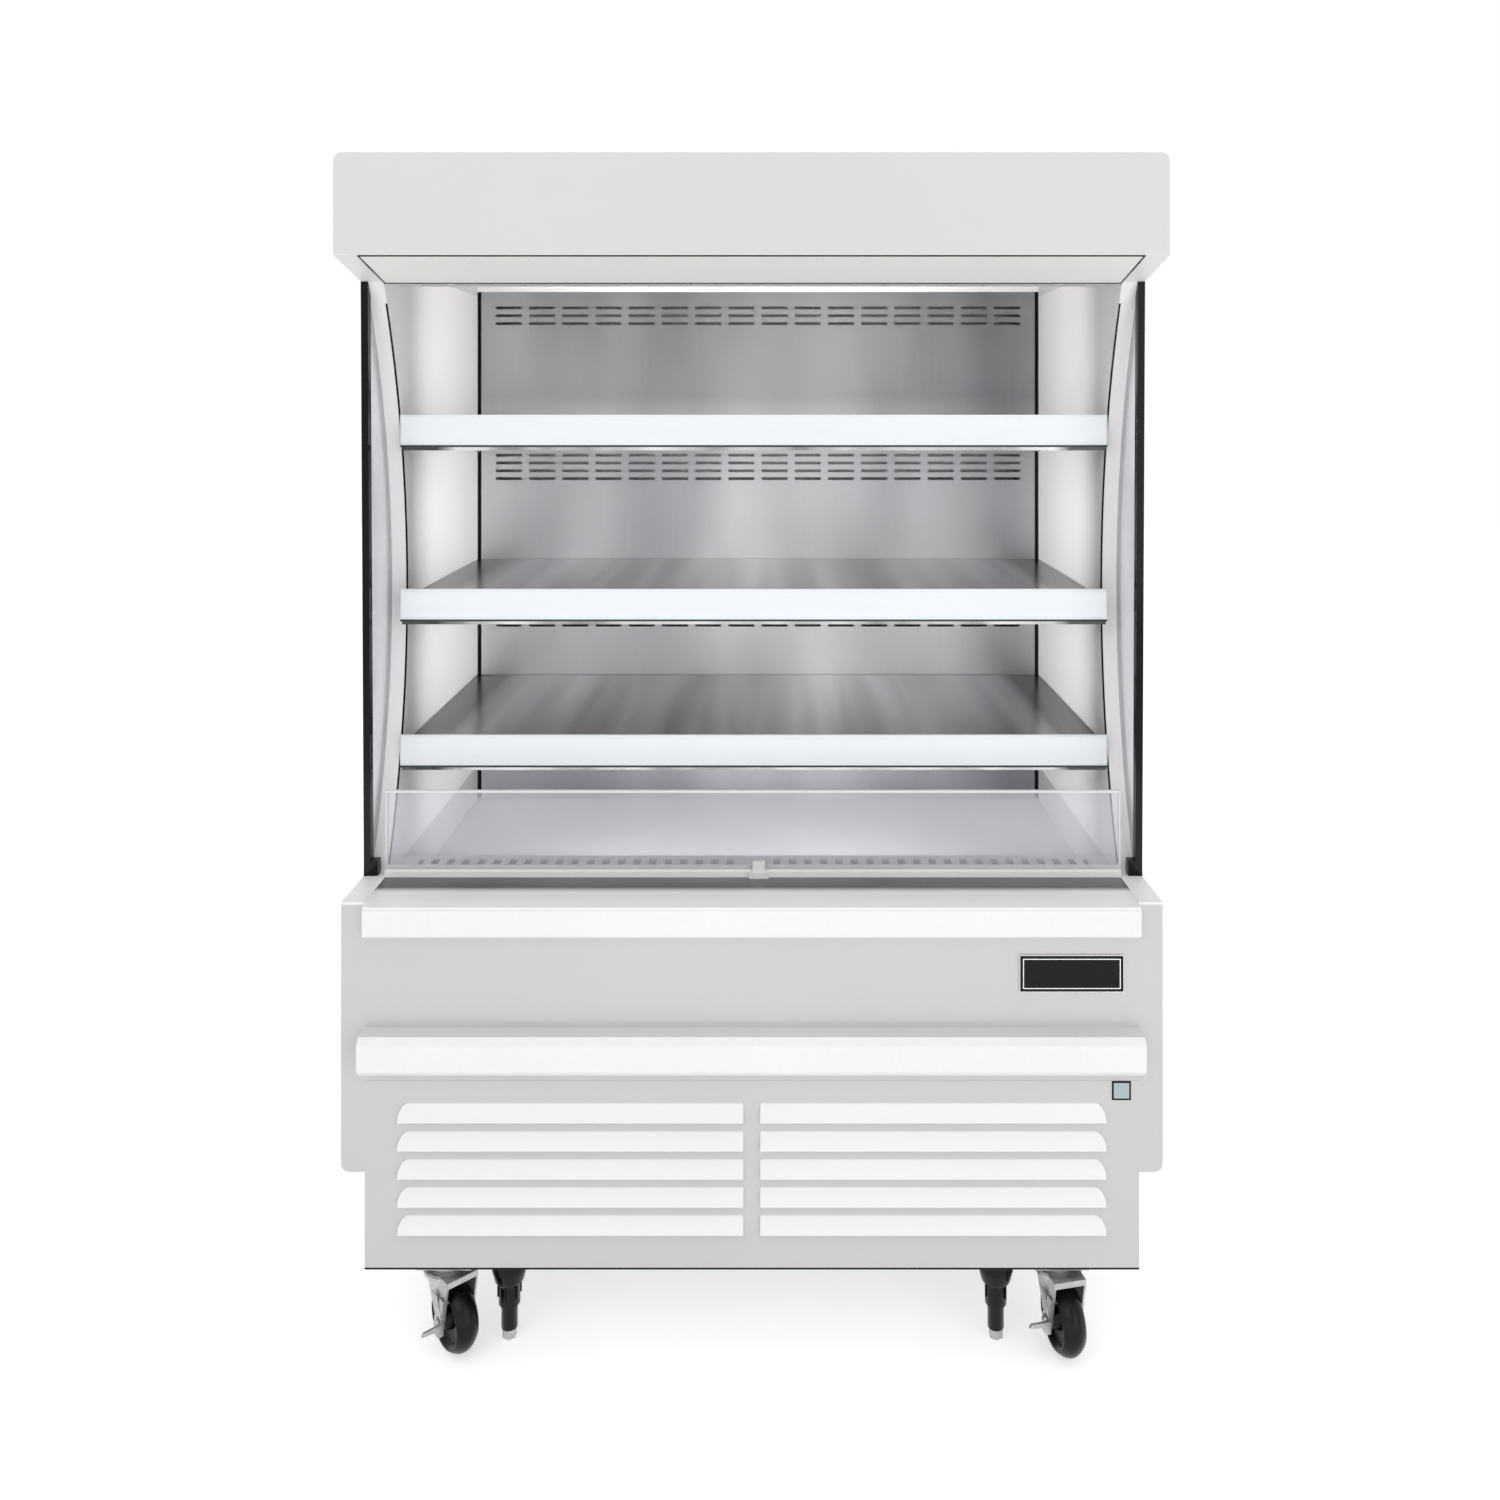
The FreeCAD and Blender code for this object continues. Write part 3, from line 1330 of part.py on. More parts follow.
def castor_wheel(name, yaw):
    """Soft tread crowned in five bands over a recessed web, and a bored hub."""
    half = s.wheel_thick / 2
    side = s.wheel_side
    web = half * 0.45
    hub = half + s.arm_gap - s.fit_gap
    bore = s.axle_radius + s.fit_gap
    sag = s.wheel_radius - side
    # the crown's bands follow an arc that sags by this much over half the tread
    shoulder, flat = half * s.crown_shoulder, half * s.crown_flat
    shoulder_radius = s.wheel_radius - sag * s.shoulder_sag
    wheel = revolved(name, "XY", [
        (-hub, bore), (hub, bore), (hub, s.hub_radius * 0.7), (web, s.hub_radius),
        (web, side * 0.8), (half, side * 0.9), (half, side), (shoulder, shoulder_radius),
        (flat, s.wheel_radius), (-flat, s.wheel_radius), (-shoulder, shoulder_radius),
        (-half, side), (-half, side * 0.9),
        (-web, side * 0.8), (-web, s.hub_radius), (-hub, s.hub_radius * 0.7),
    ], "H_Axis")
    wheel.Placement.Rotation = FreeCAD.Rotation(FreeCAD.Vector(0, 0, 1), yaw.value)
    return wheel


def brake_pedal(name, x, y, yaw):
    """Stamped lever turning on the axle outside the fork's left arm, with a toe wing."""
    ring_radius = boss * 0.95
    low_x, high_x = -pedal_out, -pedal_in
    lever_view = [
        (axle_y - ring_radius * 0.9, s.wheel_radius + ring_radius * 0.4),
        (axle_y + ring_radius * 0.5, s.wheel_radius + ring_radius * 0.8),
        (axle_y - s.foot_z, s.crown_z - s.plate_wide / 4),
        (axle_y - s.foot_z * 3, s.crown_z - s.plate_wide / 4),
    ]
    lever = prism(f"{name}_lever", "YZ", [lever_view], low_x, high_x)
    disc = rod(f"{name}_disc", "x", (low_x, axle_y, s.wheel_radius), ring_radius, s.pedal_thick)
    wing_view = [
        (high_x, s.wheel_radius - ring_radius), (high_x, s.wheel_radius + ring_radius * 0.5),
        (low_x - s.pedal_reach * 0.9, s.wheel_radius + ring_radius * 0.5),
        (low_x - s.pedal_reach, s.wheel_radius + ring_radius * 0.1),
        (low_x - s.pedal_reach * 0.4, s.wheel_radius - ring_radius * 0.1),
        (low_x - s.pedal_reach * 0.2, s.wheel_radius - ring_radius),
    ]
    wing_y = axle_y - ring_radius - s.pedal_thick
    wing = prism(f"{name}_wing", "XZ", [wing_view], wing_y, wing_y + s.pedal_thick * 1.6)
    hole = rod(f"{name}_hole", "x", (low_x - 1, axle_y, s.wheel_radius),
               s.axle_radius + s.fit_gap, s.pedal_thick + 2)
    pedal = cut(name, fuse(f"{name}_blank", [lever, disc, wing]), hole)
    return place(pedal, x, y, 0, yaw)


def place_on_fork(thing, x, y, yaw):
    """Put a piece whose origin is the wheel's centre at the end of the fork's trail."""
    sine, cosine = f"sin({yaw.text})", f"cos({yaw.text})"
    thing.setExpression("Placement.Base.x", f"{as_size(x).text} + {s.castor_trail.text} * {sine}")
    thing.setExpression("Placement.Base.y", f"{as_size(y).text} - {s.castor_trail.text} * {cosine}")
    bind(thing, "Placement.Base.z", s.wheel_radius)
    bind(thing, "Placement.Rotation.Angle", yaw)


def leg_socket(name, x, y):
    """Plastic leg: flanged collar, stepped body and the tube that the foot screws into."""
    socket = revolved(name, "XZ", [
        (s.foot_stem + s.fit_gap, s.tube_z), (s.tube_radius, s.tube_z), (s.tube_radius, s.body_z),
        (s.body_radius, s.body_z), (s.body_radius, s.collar_z - s.foot_z),
        (s.collar_low, s.collar_z), (s.collar_radius, s.crown_z), (s.collar_radius, rail_low),
        (s.foot_stem + s.fit_gap, rail_low),
    ], "V_Axis")
    return place(socket, x, y, 0)


def levelling_foot(name, x, y):
    """Zinc foot under the leg: six-sided head, rounded sole and a stem up inside the tube."""
    head = doc.addObject("Part::Prism", f"{name}_head")
    head.Polygon = 6
    bind(head, "Circumradius", s.foot_radius)
    bind(head, "Height", s.tube_z - s.foot_z - s.sheet_thick * 2)
    place(head, x, y, s.foot_z + s.sheet_thick * 2)
    sole = doc.addObject("Part::Cone", f"{name}_sole")
    bind(sole, "Radius1", s.foot_radius * 0.7)
    bind(sole, "Radius2", s.foot_radius * 0.86)
    bind(sole, "Height", s.sheet_thick * 2)
    place(sole, x, y, s.foot_z)
    stem = rod(f"{name}_stem", "z", (x, y, s.tube_z - 1), s.foot_stem, s.foot_stem_top - s.tube_z)
    return fuse(name, [head, sole, stem])


plates = []
sockets = []
corners = (
    ("front_left", -1, -1), ("front_right", 1, -1), ("rear_left", -1, 1), ("rear_right", 1, 1))
for corner, side_x, side_y in corners:
    stem_x = side_x * castor_x
    stem_y = side_y * rail_y
    foot_x = side_x * leg_x
    plates.append(castor_plate(f"castor_plate_{corner}", stem_x, stem_y))
    sockets.append(leg_socket(f"leg_socket_{corner}", foot_x, stem_y))
    yaw = s.castor_yaw_left if side_x < 0 else s.castor_yaw_right
    castor_fork(f"castor_fork_{corner}", stem_x, stem_y, yaw)
    place_on_fork(castor_wheel(f"castor_wheel_{corner}", yaw), stem_x, stem_y, yaw)
    if side_y < 0:
        brake_pedal(f"brake_pedal_{corner}", stem_x, stem_y, yaw)
    levelling_foot(f"levelling_foot_{corner}", foot_x, stem_y)
group("castor_plates", plates)
group("leg_sockets", sockets)

doc.recompute()

# ---------------------------------------------------------------------------------------
# Write one file for each node
# ---------------------------------------------------------------------------------------

NODES = """
base_rails base_pan end_wall_left end_wall_right rear_wall rear_grille insulated_tank
front_panel louvre_panel blank_plates ledge upper_bumper lower_bumper
riser_glass riser_channel riser_clip return_grille deck_pan back_panel
ceiling_panel roof_panel canopy_fascia lamp_cover led_lamp air_honeycomb
side_glass glass_trims shelf_uprights shelf_1 shelf_2 shelf_3 ticket_strips shelf_brackets
evaporator_coil evaporator_fan_plate evaporator_fan_left evaporator_fan_right
compressor condenser_coil condenser_shroud condenser_fan control_box drain_pan
refrigerant_pipes castor_plates leg_sockets
castor_fork_front_left castor_fork_front_right castor_fork_rear_left castor_fork_rear_right
castor_wheel_front_left castor_wheel_front_right castor_wheel_rear_left castor_wheel_rear_right
brake_pedal_front_left brake_pedal_front_right
levelling_foot_front_left levelling_foot_front_right
levelling_foot_rear_left levelling_foot_rear_right
""".split()

failed = [thing.Label for thing in doc.Objects
          if "Invalid" in thing.State or "Error" in thing.State]
if failed:
    raise RuntimeError(f"features that failed: {failed}")

os.makedirs("parts", exist_ok=True)
for node in NODES:
    piece = doc.getObject(node)
    shape = piece.Shape
    if shape.isNull() or not shape.isValid() or not shape.Solids:
        raise RuntimeError(f"{node} has no valid solid")
    shape.exportStep(f"parts/{node}.step")
print(f"{len(NODES)} nodes, {sum(len(doc.getObject(node).Shape.Solids) for node in NODES)} solids")
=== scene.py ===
# %% [markdown]
# # Open multideck display fridge
# A shop cabinet that is open at the front: cold air falls as a curtain from the canopy to the
# grille behind the clear riser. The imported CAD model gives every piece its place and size, and
# this script gives each one its finish, adds the small moulded and stamped parts, and lights it.

# %% The frame
import json
import math

import bmesh
import bpy
from mathutils import Matrix, Vector


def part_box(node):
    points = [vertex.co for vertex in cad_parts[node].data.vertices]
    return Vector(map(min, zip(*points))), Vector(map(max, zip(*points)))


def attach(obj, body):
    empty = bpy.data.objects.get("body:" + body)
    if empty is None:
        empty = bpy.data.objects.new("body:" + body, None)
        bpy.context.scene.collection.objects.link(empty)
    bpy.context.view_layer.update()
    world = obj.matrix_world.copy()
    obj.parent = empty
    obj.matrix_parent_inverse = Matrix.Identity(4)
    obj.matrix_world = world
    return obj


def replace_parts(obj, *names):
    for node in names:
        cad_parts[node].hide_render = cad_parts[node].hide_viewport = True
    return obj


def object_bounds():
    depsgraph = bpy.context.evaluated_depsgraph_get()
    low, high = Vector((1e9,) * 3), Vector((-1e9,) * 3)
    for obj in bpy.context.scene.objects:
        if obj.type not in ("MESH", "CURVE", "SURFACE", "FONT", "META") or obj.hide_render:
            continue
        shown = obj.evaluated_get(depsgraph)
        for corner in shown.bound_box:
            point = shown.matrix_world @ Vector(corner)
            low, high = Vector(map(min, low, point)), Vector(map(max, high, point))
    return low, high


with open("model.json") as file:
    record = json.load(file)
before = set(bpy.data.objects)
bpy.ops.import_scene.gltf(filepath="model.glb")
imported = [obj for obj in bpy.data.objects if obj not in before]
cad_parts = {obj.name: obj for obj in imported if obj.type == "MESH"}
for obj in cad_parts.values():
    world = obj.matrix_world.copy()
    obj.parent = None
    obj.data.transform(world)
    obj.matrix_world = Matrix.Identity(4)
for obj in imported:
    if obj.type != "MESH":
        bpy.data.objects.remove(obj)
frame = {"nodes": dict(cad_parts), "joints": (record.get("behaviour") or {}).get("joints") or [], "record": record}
cad_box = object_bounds()
scene = bpy.context.scene
joints = {joint["name"]: joint for joint in frame["joints"]}

# %% [markdown]
# ## Colours
# Colours are noted as they look on screen, because that is how they are read off an object.
# Blender mixes light in linear values, so each one goes through the screen's curve first.

# %% Screen colours to linear values
def screen_colour(red, green, blue):
    """A colour given as 0 to 255 screen values, as a linear colour with full cover."""
    linear = []
    for value in (red / 255, green / 255, blue / 255):
        low = value <= 0.04045
        linear.append(value / 12.92 if low else ((value + 0.055) / 1.055) ** 2.4)
    return (*linear, 1.0)


print("mid grey is", round(screen_colour(128, 128, 128)[0], 3), "in linear light")

# %% [markdown]
# ## Noise that keeps to real metres
# No real surface is one flat colour. Powder coat has a fine orange peel, rolled steel is brushed
# along its length, and polished sheet shows wide soft clouds. One noise texture can be all of
# these. It reads Object coordinates, which for these pieces are real metres, and a Mapping node
# scales them: a high number gives fine grain, and a low number along one axis draws it out.

# %% Stretched noise
def add_node(tree, kind, values):
    """A shader node with some of its inputs set."""
    node = tree.nodes.new(kind)
    for name, value in values.items():
        node.inputs[name].default_value = value
    return node


def real_metres(tree):
    """Where a point of the surface is, in Object coordinates."""
    return tree.nodes.new("ShaderNodeTexCoord").outputs["Object"]


def stretched_noise(tree, grain, detail):
    """The value of a noise whose cells per metre are given for each axis."""
    stretch = add_node(tree, "ShaderNodeMapping", {"Scale": grain})
    noise = add_node(tree, "ShaderNodeTexNoise",
                     {"Scale": 1.0, "Detail": detail, "Roughness": 0.55})
    tree.links.new(real_metres(tree), stretch.inputs["Vector"])
    tree.links.new(stretch.outputs["Vector"], noise.inputs["Vector"])
    return noise.outputs["Fac"]


def two_shade_ramp(tree, value, shades, low=0.3, high=0.7):
    """A colour that goes from a dark to a light screen colour as a value rises."""
    ramp = tree.nodes.new("ShaderNodeValToRGB")
    first, last = ramp.color_ramp.elements
    first.position, first.color = low, screen_colour(*shades[0])
    last.position, last.color = high, screen_colour(*shades[1])
    tree.links.new(value, ramp.inputs["Fac"])
    return ramp.outputs["Color"]


def spread_between(tree, value, low, high):
    """A value from 0 to 1, spread from low to high."""
    spread = add_node(tree, "ShaderNodeMapRange", {"To Min": low, "To Max": high})
    tree.links.new(value, spread.inputs["Value"])
    return spread.outputs["Result"]


# %% [markdown]
# ## A finish with grain and cloud
# Each finish is a Principled shader. Its colour moves between two close shades by a mix of fine
# grain and wide cloud. Its roughness and bump follow the fine grain alone, because that is what
# a fingertip would feel.

# %% A finish with grain
FINE_DETAIL = 4.0
WIDE_DETAIL = 2.0
BUMP_DEPTH = 0.0005


def new_finish(name, metal):
    """A finish with its node tree and its Principled shader."""
    finish = bpy.data.materials.new(name)
    finish.use_nodes = True
    shader = finish.node_tree.nodes["Principled BSDF"]
    shader.inputs["Metallic"].default_value = metal
    return finish, finish.node_tree, shader


def grained_finish(name, shades, rough, metal=0.0, grain=(60, 60, 60), cloud=(3, 3, 3),
                   cloud_share=0.5, relief=0.05, rough_spread=0.06, coat=0.0, shine=0.5):
    """A finish that varies between two shades by fine grain and wide cloud."""
    finish, tree, shader = new_finish(name, metal)
    shader.inputs["Coat Weight"].default_value = coat
    shader.inputs["Specular IOR Level"].default_value = shine
    fine = stretched_noise(tree, grain, FINE_DETAIL)
    wide = stretched_noise(tree, cloud, WIDE_DETAIL)
    blend = add_node(tree, "ShaderNodeMix", {"Factor": cloud_share})
    tree.links.new(fine, blend.inputs["A"])
    tree.links.new(wide, blend.inputs["B"])
    colour = two_shade_ramp(tree, blend.outputs["Result"], shades)
    tree.links.new(colour, shader.inputs["Base Color"])
    tree.links.new(spread_between(tree, fine, rough - rough_spread, rough + rough_spread),
                   shader.inputs["Roughness"])
    bump = add_node(tree, "ShaderNodeBump", {"Strength": relief, "Distance": BUMP_DEPTH})
    tree.links.new(fine, bump.inputs["Height"])
    tree.links.new(bump.outputs["Normal"], shader.inputs["Normal"])
    return finish


# %% [markdown]
# ## Real coats and painted light on one sheet
# The pressed hoods of the front panel are white on a grey panel, a painted highlight, and the end
# walls are lighter inside, painted light, and lighter above the base. One sheet carries several
# shades, real coats and painted light and shade, so another pair of shades takes over past a
# place along one axis of the finish, and this can be laid more than once.

# %% A second shade past a place
def second_coat_and_painted_light(name, axis, start, end, shades):
    """Change a grained finish to two other shades as an axis goes from start to end."""
    tree = finishes[name].node_tree
    base = tree.nodes["Principled BSDF"].inputs["Base Color"]
    first = base.links[0].from_socket
    ramp = next(node for node in tree.nodes if node.type == "VALTORGB")
    other = two_shade_ramp(tree, ramp.inputs["Fac"].links[0].from_socket, shades)
    split = tree.nodes.new("ShaderNodeSeparateXYZ")
    tree.links.new(real_metres(tree), split.inputs["Vector"])
    reach = add_node(tree, "ShaderNodeMapRange", {"From Min": start, "From Max": end})
    tree.links.new(split.outputs[axis], reach.inputs["Value"])
    coats = tree.nodes.new("ShaderNodeMix")
    coats.data_type = "RGBA"
    # a Mix node keeps one set of sockets for each kind of value: these are the colours'
    colour_a, colour_b, colour_out = coats.inputs[6], coats.inputs[7], coats.outputs[2]
    tree.links.new(reach.outputs["Result"], coats.inputs["Factor"])
    tree.links.new(first, colour_a)
    tree.links.new(other, colour_b)
    tree.links.new(colour_out, base)


# %% [markdown]
# ## Zinc spangle
# Hot-dipped steel sets in flat crystals a few millimetres to a few centimetres across, and each
# one catches the light at its own brightness. Voronoi cells are that pattern: the cell's own
# colour picks its shade and its roughness.

# %% Spangled zinc
def spangled_finish(name, shades, rough, cells, metal=0.85, rough_spread=0.04):
    """Galvanised sheet whose crystals number a given count per metre."""
    finish, tree, shader = new_finish(name, metal)
    crystals = add_node(tree, "ShaderNodeTexVoronoi", {"Scale": cells})
    tree.links.new(real_metres(tree), crystals.inputs["Vector"])
    split = tree.nodes.new("ShaderNodeSeparateColor")
    tree.links.new(crystals.outputs["Color"], split.inputs["Color"])
    colour = two_shade_ramp(tree, split.outputs["Red"], shades, 0.0, 1.0)
    tree.links.new(colour, shader.inputs["Base Color"])
    tree.links.new(spread_between(tree, split.outputs["Green"], rough - rough_spread,
                                  rough + rough_spread), shader.inputs["Roughness"])
    return finish


# %% [markdown]
# ## Thin clear sheet
# Light goes straight through the riser and the side panes. A refracting shader would throw a
# dark shadow behind them at a low sample count, so the sheet is a faint coat over nothing: Alpha
# sets how much of it shows, and noise makes it slightly hazy in places, as wiped plastic is.

# %% Clear sheet
def clear_sheet(name, shades, cover):
    """A clear sheet of which a given share shows."""
    finish = grained_finish(name, shades, 0.08, grain=(9, 9, 30), cloud=(2, 2, 1),
                            relief=0.01, rough_spread=0.04, coat=0.4)
    finish.node_tree.nodes["Principled BSDF"].inputs["Alpha"].default_value = cover
    return finish


# %% [markdown]
# ## The cabinet's paints
# The base is a warm light grey, the canopy a shade lighter, and the liner inside lighter still.
# All three are semi-matt powder coat, with a grain of one to a few millimetres. Each finish is a
# row with its dark and light screen colours, its roughness and what else it needs.

# %% Paints and plastics
FINE = (900, 900, 900)
SPECKLE = (240, 240, 240)
BASE_GREY = (205, 203, 204), (211, 209, 210)
CANOPY_GREY = (219, 218, 219), (224, 223, 224)
# painted light: near white that lifts the shade on the end walls inside the cabinet
LINER_PAINTED_LIGHT = (250, 248, 248), (254, 252, 252)
RAIL_WHITE = (240, 240, 240), (246, 246, 246)
# painted shade: the darker grey of the thin line along the lower bumper's top edge
RAIL_TOP_SHADE = (218, 216, 217), (224, 222, 223)
# painted highlight: the white of the hoods' sloped faces, where they catch the light from above
HOOD_HIGHLIGHT = (242, 241, 241), (248, 247, 247)
PAINTS = {
    "grey_paint": dict(shades=BASE_GREY, rough=0.42, grain=FINE),
    "canopy_paint": dict(shades=CANOPY_GREY, rough=0.4, grain=FINE),
    "wall_left": dict(shades=CANOPY_GREY, rough=0.42, grain=FINE),
    "wall_right": dict(shades=CANOPY_GREY, rough=0.42, grain=FINE),
    "rail_white": dict(shades=RAIL_WHITE, rough=0.3, grain=SPECKLE),
    "louvre_paint_and_highlight": dict(shades=BASE_GREY, rough=0.42, grain=FINE),
    "liner_paint": dict(shades=((236, 234, 231), (243, 241, 238)), rough=0.45, grain=SPECKLE),
    "white_trim": dict(shades=RAIL_WHITE, rough=0.3, grain=SPECKLE),
    "strip_white": dict(shades=((243, 249, 254), (251, 253, 255)), rough=0.3, grain=SPECKLE,
                        cloud=(3, 3, 60), coat=0.3),
    "strip_line": dict(shades=((20, 40, 42), (40, 62, 64)), rough=0.4, grain=SPECKLE),
    "white_plastic": dict(shades=((232, 231, 229), (240, 239, 237)), rough=0.5, grain=SPECKLE),
    "diffuser": dict(shades=((212, 210, 208), (220, 218, 216)), rough=0.5, grain=FINE,
                     cloud=(2, 9, 9)),
    "clip_plastic": dict(shades=((226, 227, 228), (240, 240, 241)), rough=0.4, grain=SPECKLE),
    "black_trim": dict(shades=((6, 6, 7), (16, 16, 17)), rough=0.12, grain=SPECKLE, shine=0.15),
    "plate_black": dict(shades=((6, 6, 8), (16, 16, 19)), rough=0.15, grain=FINE, shine=0.12),
    "plate_field": dict(shades=((160, 178, 184), (182, 196, 200)), rough=0.35, grain=FINE),
    "black_plastic": dict(shades=((6, 6, 6), (16, 15, 15)), rough=0.2, grain=SPECKLE, shine=0.2),
    "wheel_rubber": dict(shades=((9, 8, 8), (20, 19, 19)), rough=0.28, grain=SPECKLE,
                         relief=0.12, shine=0.2),
    "compressor_black": dict(shades=((22, 22, 23), (34, 34, 35)), rough=0.3, grain=FINE,
                             coat=0.3),
}
finishes = {name: grained_finish(name, **row) for name, row in PAINTS.items()}
print("paints and plastics:", len(finishes))

# %% [markdown]
# ## Where the paints and the painted light change
# The hoods turn white just proud of the panel, a painted highlight. An end wall is white everywhere
# behind its outer skin, painted light that lifts the shade inside the cabinet, grey as the canopy
# above the opening and grey as the base below it, and the lower bumper has a grey top, painted
# shade along its edge. The diffuser glows a little, as the lamp behind it would make it.

# %% Second shades and the diffuser's glow
HOOD_PROUD = 0.009
DIFFUSER_GLOW = 0.24
# where each second shade begins and ends, from the edge that it belongs to
HOOD_HIGHLIGHT_REACH = (0.0004, 0.0012)
SKIN_LIGHT_REACH = (0.0003, 0.001)
BROW_COAT = (0.0002, 0.0008)
WING_COAT = 0.004
RAIL_SHADE_REACH = (0.0008, 0.0003)
hood_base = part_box("louvre_panel")[0].y + HOOD_PROUD
wing_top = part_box("upper_bumper")[1].z
brow_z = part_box("canopy_fascia")[0].z
rail_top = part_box("lower_bumper")[1].z
skin_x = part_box("end_wall_right")[1].x
# painted highlight: the hoods turn white where their sloped faces catch the light
second_coat_and_painted_light("louvre_paint_and_highlight", "Y", *[hood_base - away for away in HOOD_HIGHLIGHT_REACH], HOOD_HIGHLIGHT)
for side, sign in (("left", -1), ("right", 1)):
    wall = f"wall_{side}"
    # painted light: the wall turns near white behind its outer skin, to lift the shade inside
    second_coat_and_painted_light(wall, "X", *[sign * (skin_x - away) for away in SKIN_LIGHT_REACH], LINER_PAINTED_LIGHT)
    second_coat_and_painted_light(wall, "Z", *[brow_z + away for away in BROW_COAT], CANOPY_GREY)
    second_coat_and_painted_light(wall, "Z", wing_top + WING_COAT, wing_top, BASE_GREY)
# painted shade: a thin darker band along the lower bumper's top edge
second_coat_and_painted_light("rail_white", "Z", *[rail_top - away for away in RAIL_SHADE_REACH], RAIL_TOP_SHADE)
diffuser = finishes["diffuser"].node_tree.nodes["Principled BSDF"]
diffuser.inputs["Emission Color"].default_value = screen_colour(255, 252, 248)
diffuser.inputs["Emission Strength"].default_value = DIFFUSER_GLOW
print("hoods turn white at", round(hood_base, 4))

# %% [markdown]
# ## The cabinet's metals
# The back panel shows tall soft clouds, and the shelves bands that run from front to back, both
# from the way rolled sheet reflects. Their fine brush marks run the same way, so the grain and
# the cloud are drawn out along one axis: Z for the panel and Y for the shelves.

# %% Metals and clear sheet
UPRIGHT_BRUSH = (420, 420, 5)
DEPTH_BRUSH = (420, 5, 420)
ACROSS_BRUSH = (4, 420, 420)
METALS = {
    "stainless": dict(shades=((150, 151, 154), (205, 206, 208)), rough=0.3, metal=1.0,
                      grain=ACROSS_BRUSH, cloud=(6, 6, 6), relief=0.03),
    "panel_steel": dict(shades=((166, 167, 171), (246, 247, 249)), rough=0.4, metal=1.0,
                        grain=UPRIGHT_BRUSH, cloud=(2.8, 2.8, 0.6), cloud_share=0.95,
                        relief=0.01),
    "shelf_steel": dict(shades=((120, 120, 121), (236, 236, 237)), rough=0.24, metal=1.0,
                        grain=DEPTH_BRUSH, cloud=(9, 0.5, 3), cloud_share=0.9, relief=0.02),
    "deck_steel": dict(shades=((208, 207, 213), (240, 239, 245)), rough=0.42, metal=0.3,
                       grain=ACROSS_BRUSH, cloud=(4, 2, 2), cloud_share=0.8, relief=0.02),
    # painted reflection: the ledge's dark grey stands for the dark surroundings mirrored in its steel
    "ledge_steel_and_reflection": dict(shades=((70, 70, 71), (118, 118, 118)), rough=0.25, metal=0.1,
                        grain=ACROSS_BRUSH, cloud=(2.2, 6, 6), cloud_share=0.85, relief=0.02),
    "dark_steel": dict(shades=((52, 50, 48), (74, 72, 70)), rough=0.4, metal=0.5, grain=FINE),
    "aluminium": dict(shades=((190, 191, 193), (214, 215, 217)), rough=0.32, metal=1.0,
                      grain=ACROSS_BRUSH),
    "fin_aluminium": dict(shades=((140, 142, 145), (210, 211, 213)), rough=0.35, metal=1.0,
                          grain=(600, 4, 4), relief=0.4, cloud_share=0.1),
    "copper": dict(shades=((150, 84, 56), (210, 140, 102)), rough=0.3, metal=1.0,
                   grain=(90, 90, 90), cloud=(14, 14, 14)),
    "zinc": dict(shades=((158, 158, 159), (206, 206, 207)), rough=0.34, metal=0.8,
                 grain=(130, 130, 130), cloud=(22, 22, 22), relief=0.08),
    "bright_line": dict(shades=((196, 197, 199), (228, 229, 230)), rough=0.2, metal=0.6,
                        grain=FINE),
}
finishes.update({name: grained_finish(name, **row) for name, row in METALS.items()})
finishes["galvanised"] = spangled_finish("galvanised", ((184, 186, 188), (198, 200, 202)),
                                         0.42, 90)
finishes["clear_glass"] = clear_sheet("clear_glass", ((222, 222, 232), (238, 238, 246)), 0.24)
finishes["pane_glass"] = clear_sheet("pane_glass", ((232, 232, 240), (246, 246, 252)), 0.55)
print("finishes:", len(finishes))

# %% [markdown]
# ## Where the steel changes
# The ledge turns white over its nose, a painted highlight, and elsewhere its dark grey is a painted
# reflection of the dark surroundings. The back panel is darker above the top shelf, and a shelf
# is darker at its two ends, a painted reflection of the dark side walls in its polished top.

# %% Second shades on the steel
# painted highlight: the white over the ledge's nose
LEDGE_NOSE_HIGHLIGHT = (251, 251, 251), (255, 255, 255)
TOP_BAY_GREY = (141, 142, 146), (216, 217, 219)
# painted reflection: the dark side walls mirrored in the ends of the polished shelf tops
SHELF_END_REFLECTION = (60, 60, 61), (96, 96, 97)
LEDGE_TURN = -0.35
LEDGE_BLEND = 0.016
PANEL_BLEND = 0.05
SHELF_END = 0.485
SHELF_BLEND = 0.03
panel_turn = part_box("shelf_1")[1].z
# painted highlight: the ledge turns white over its nose
second_coat_and_painted_light("ledge_steel_and_reflection", "Y", LEDGE_TURN, LEDGE_TURN - LEDGE_BLEND, LEDGE_NOSE_HIGHLIGHT)
second_coat_and_painted_light("panel_steel", "Z", panel_turn, panel_turn + PANEL_BLEND, TOP_BAY_GREY)
# painted reflection: each shelf top darkens at its ends, where it would mirror the side walls
for sign in (-1, 1):
    second_coat_and_painted_light("shelf_steel", "X", sign * SHELF_END, sign * (SHELF_END + SHELF_BLEND),
                SHELF_END_REFLECTION)
print("the panel darkens above", round(panel_turn, 3))

# %% [markdown]
# ## Finishes onto the CAD pieces
# The record names a material slot for every piece. A few pieces of one slot look different on
# the real cabinet, such as the shelves and the back panel, so those are named first.

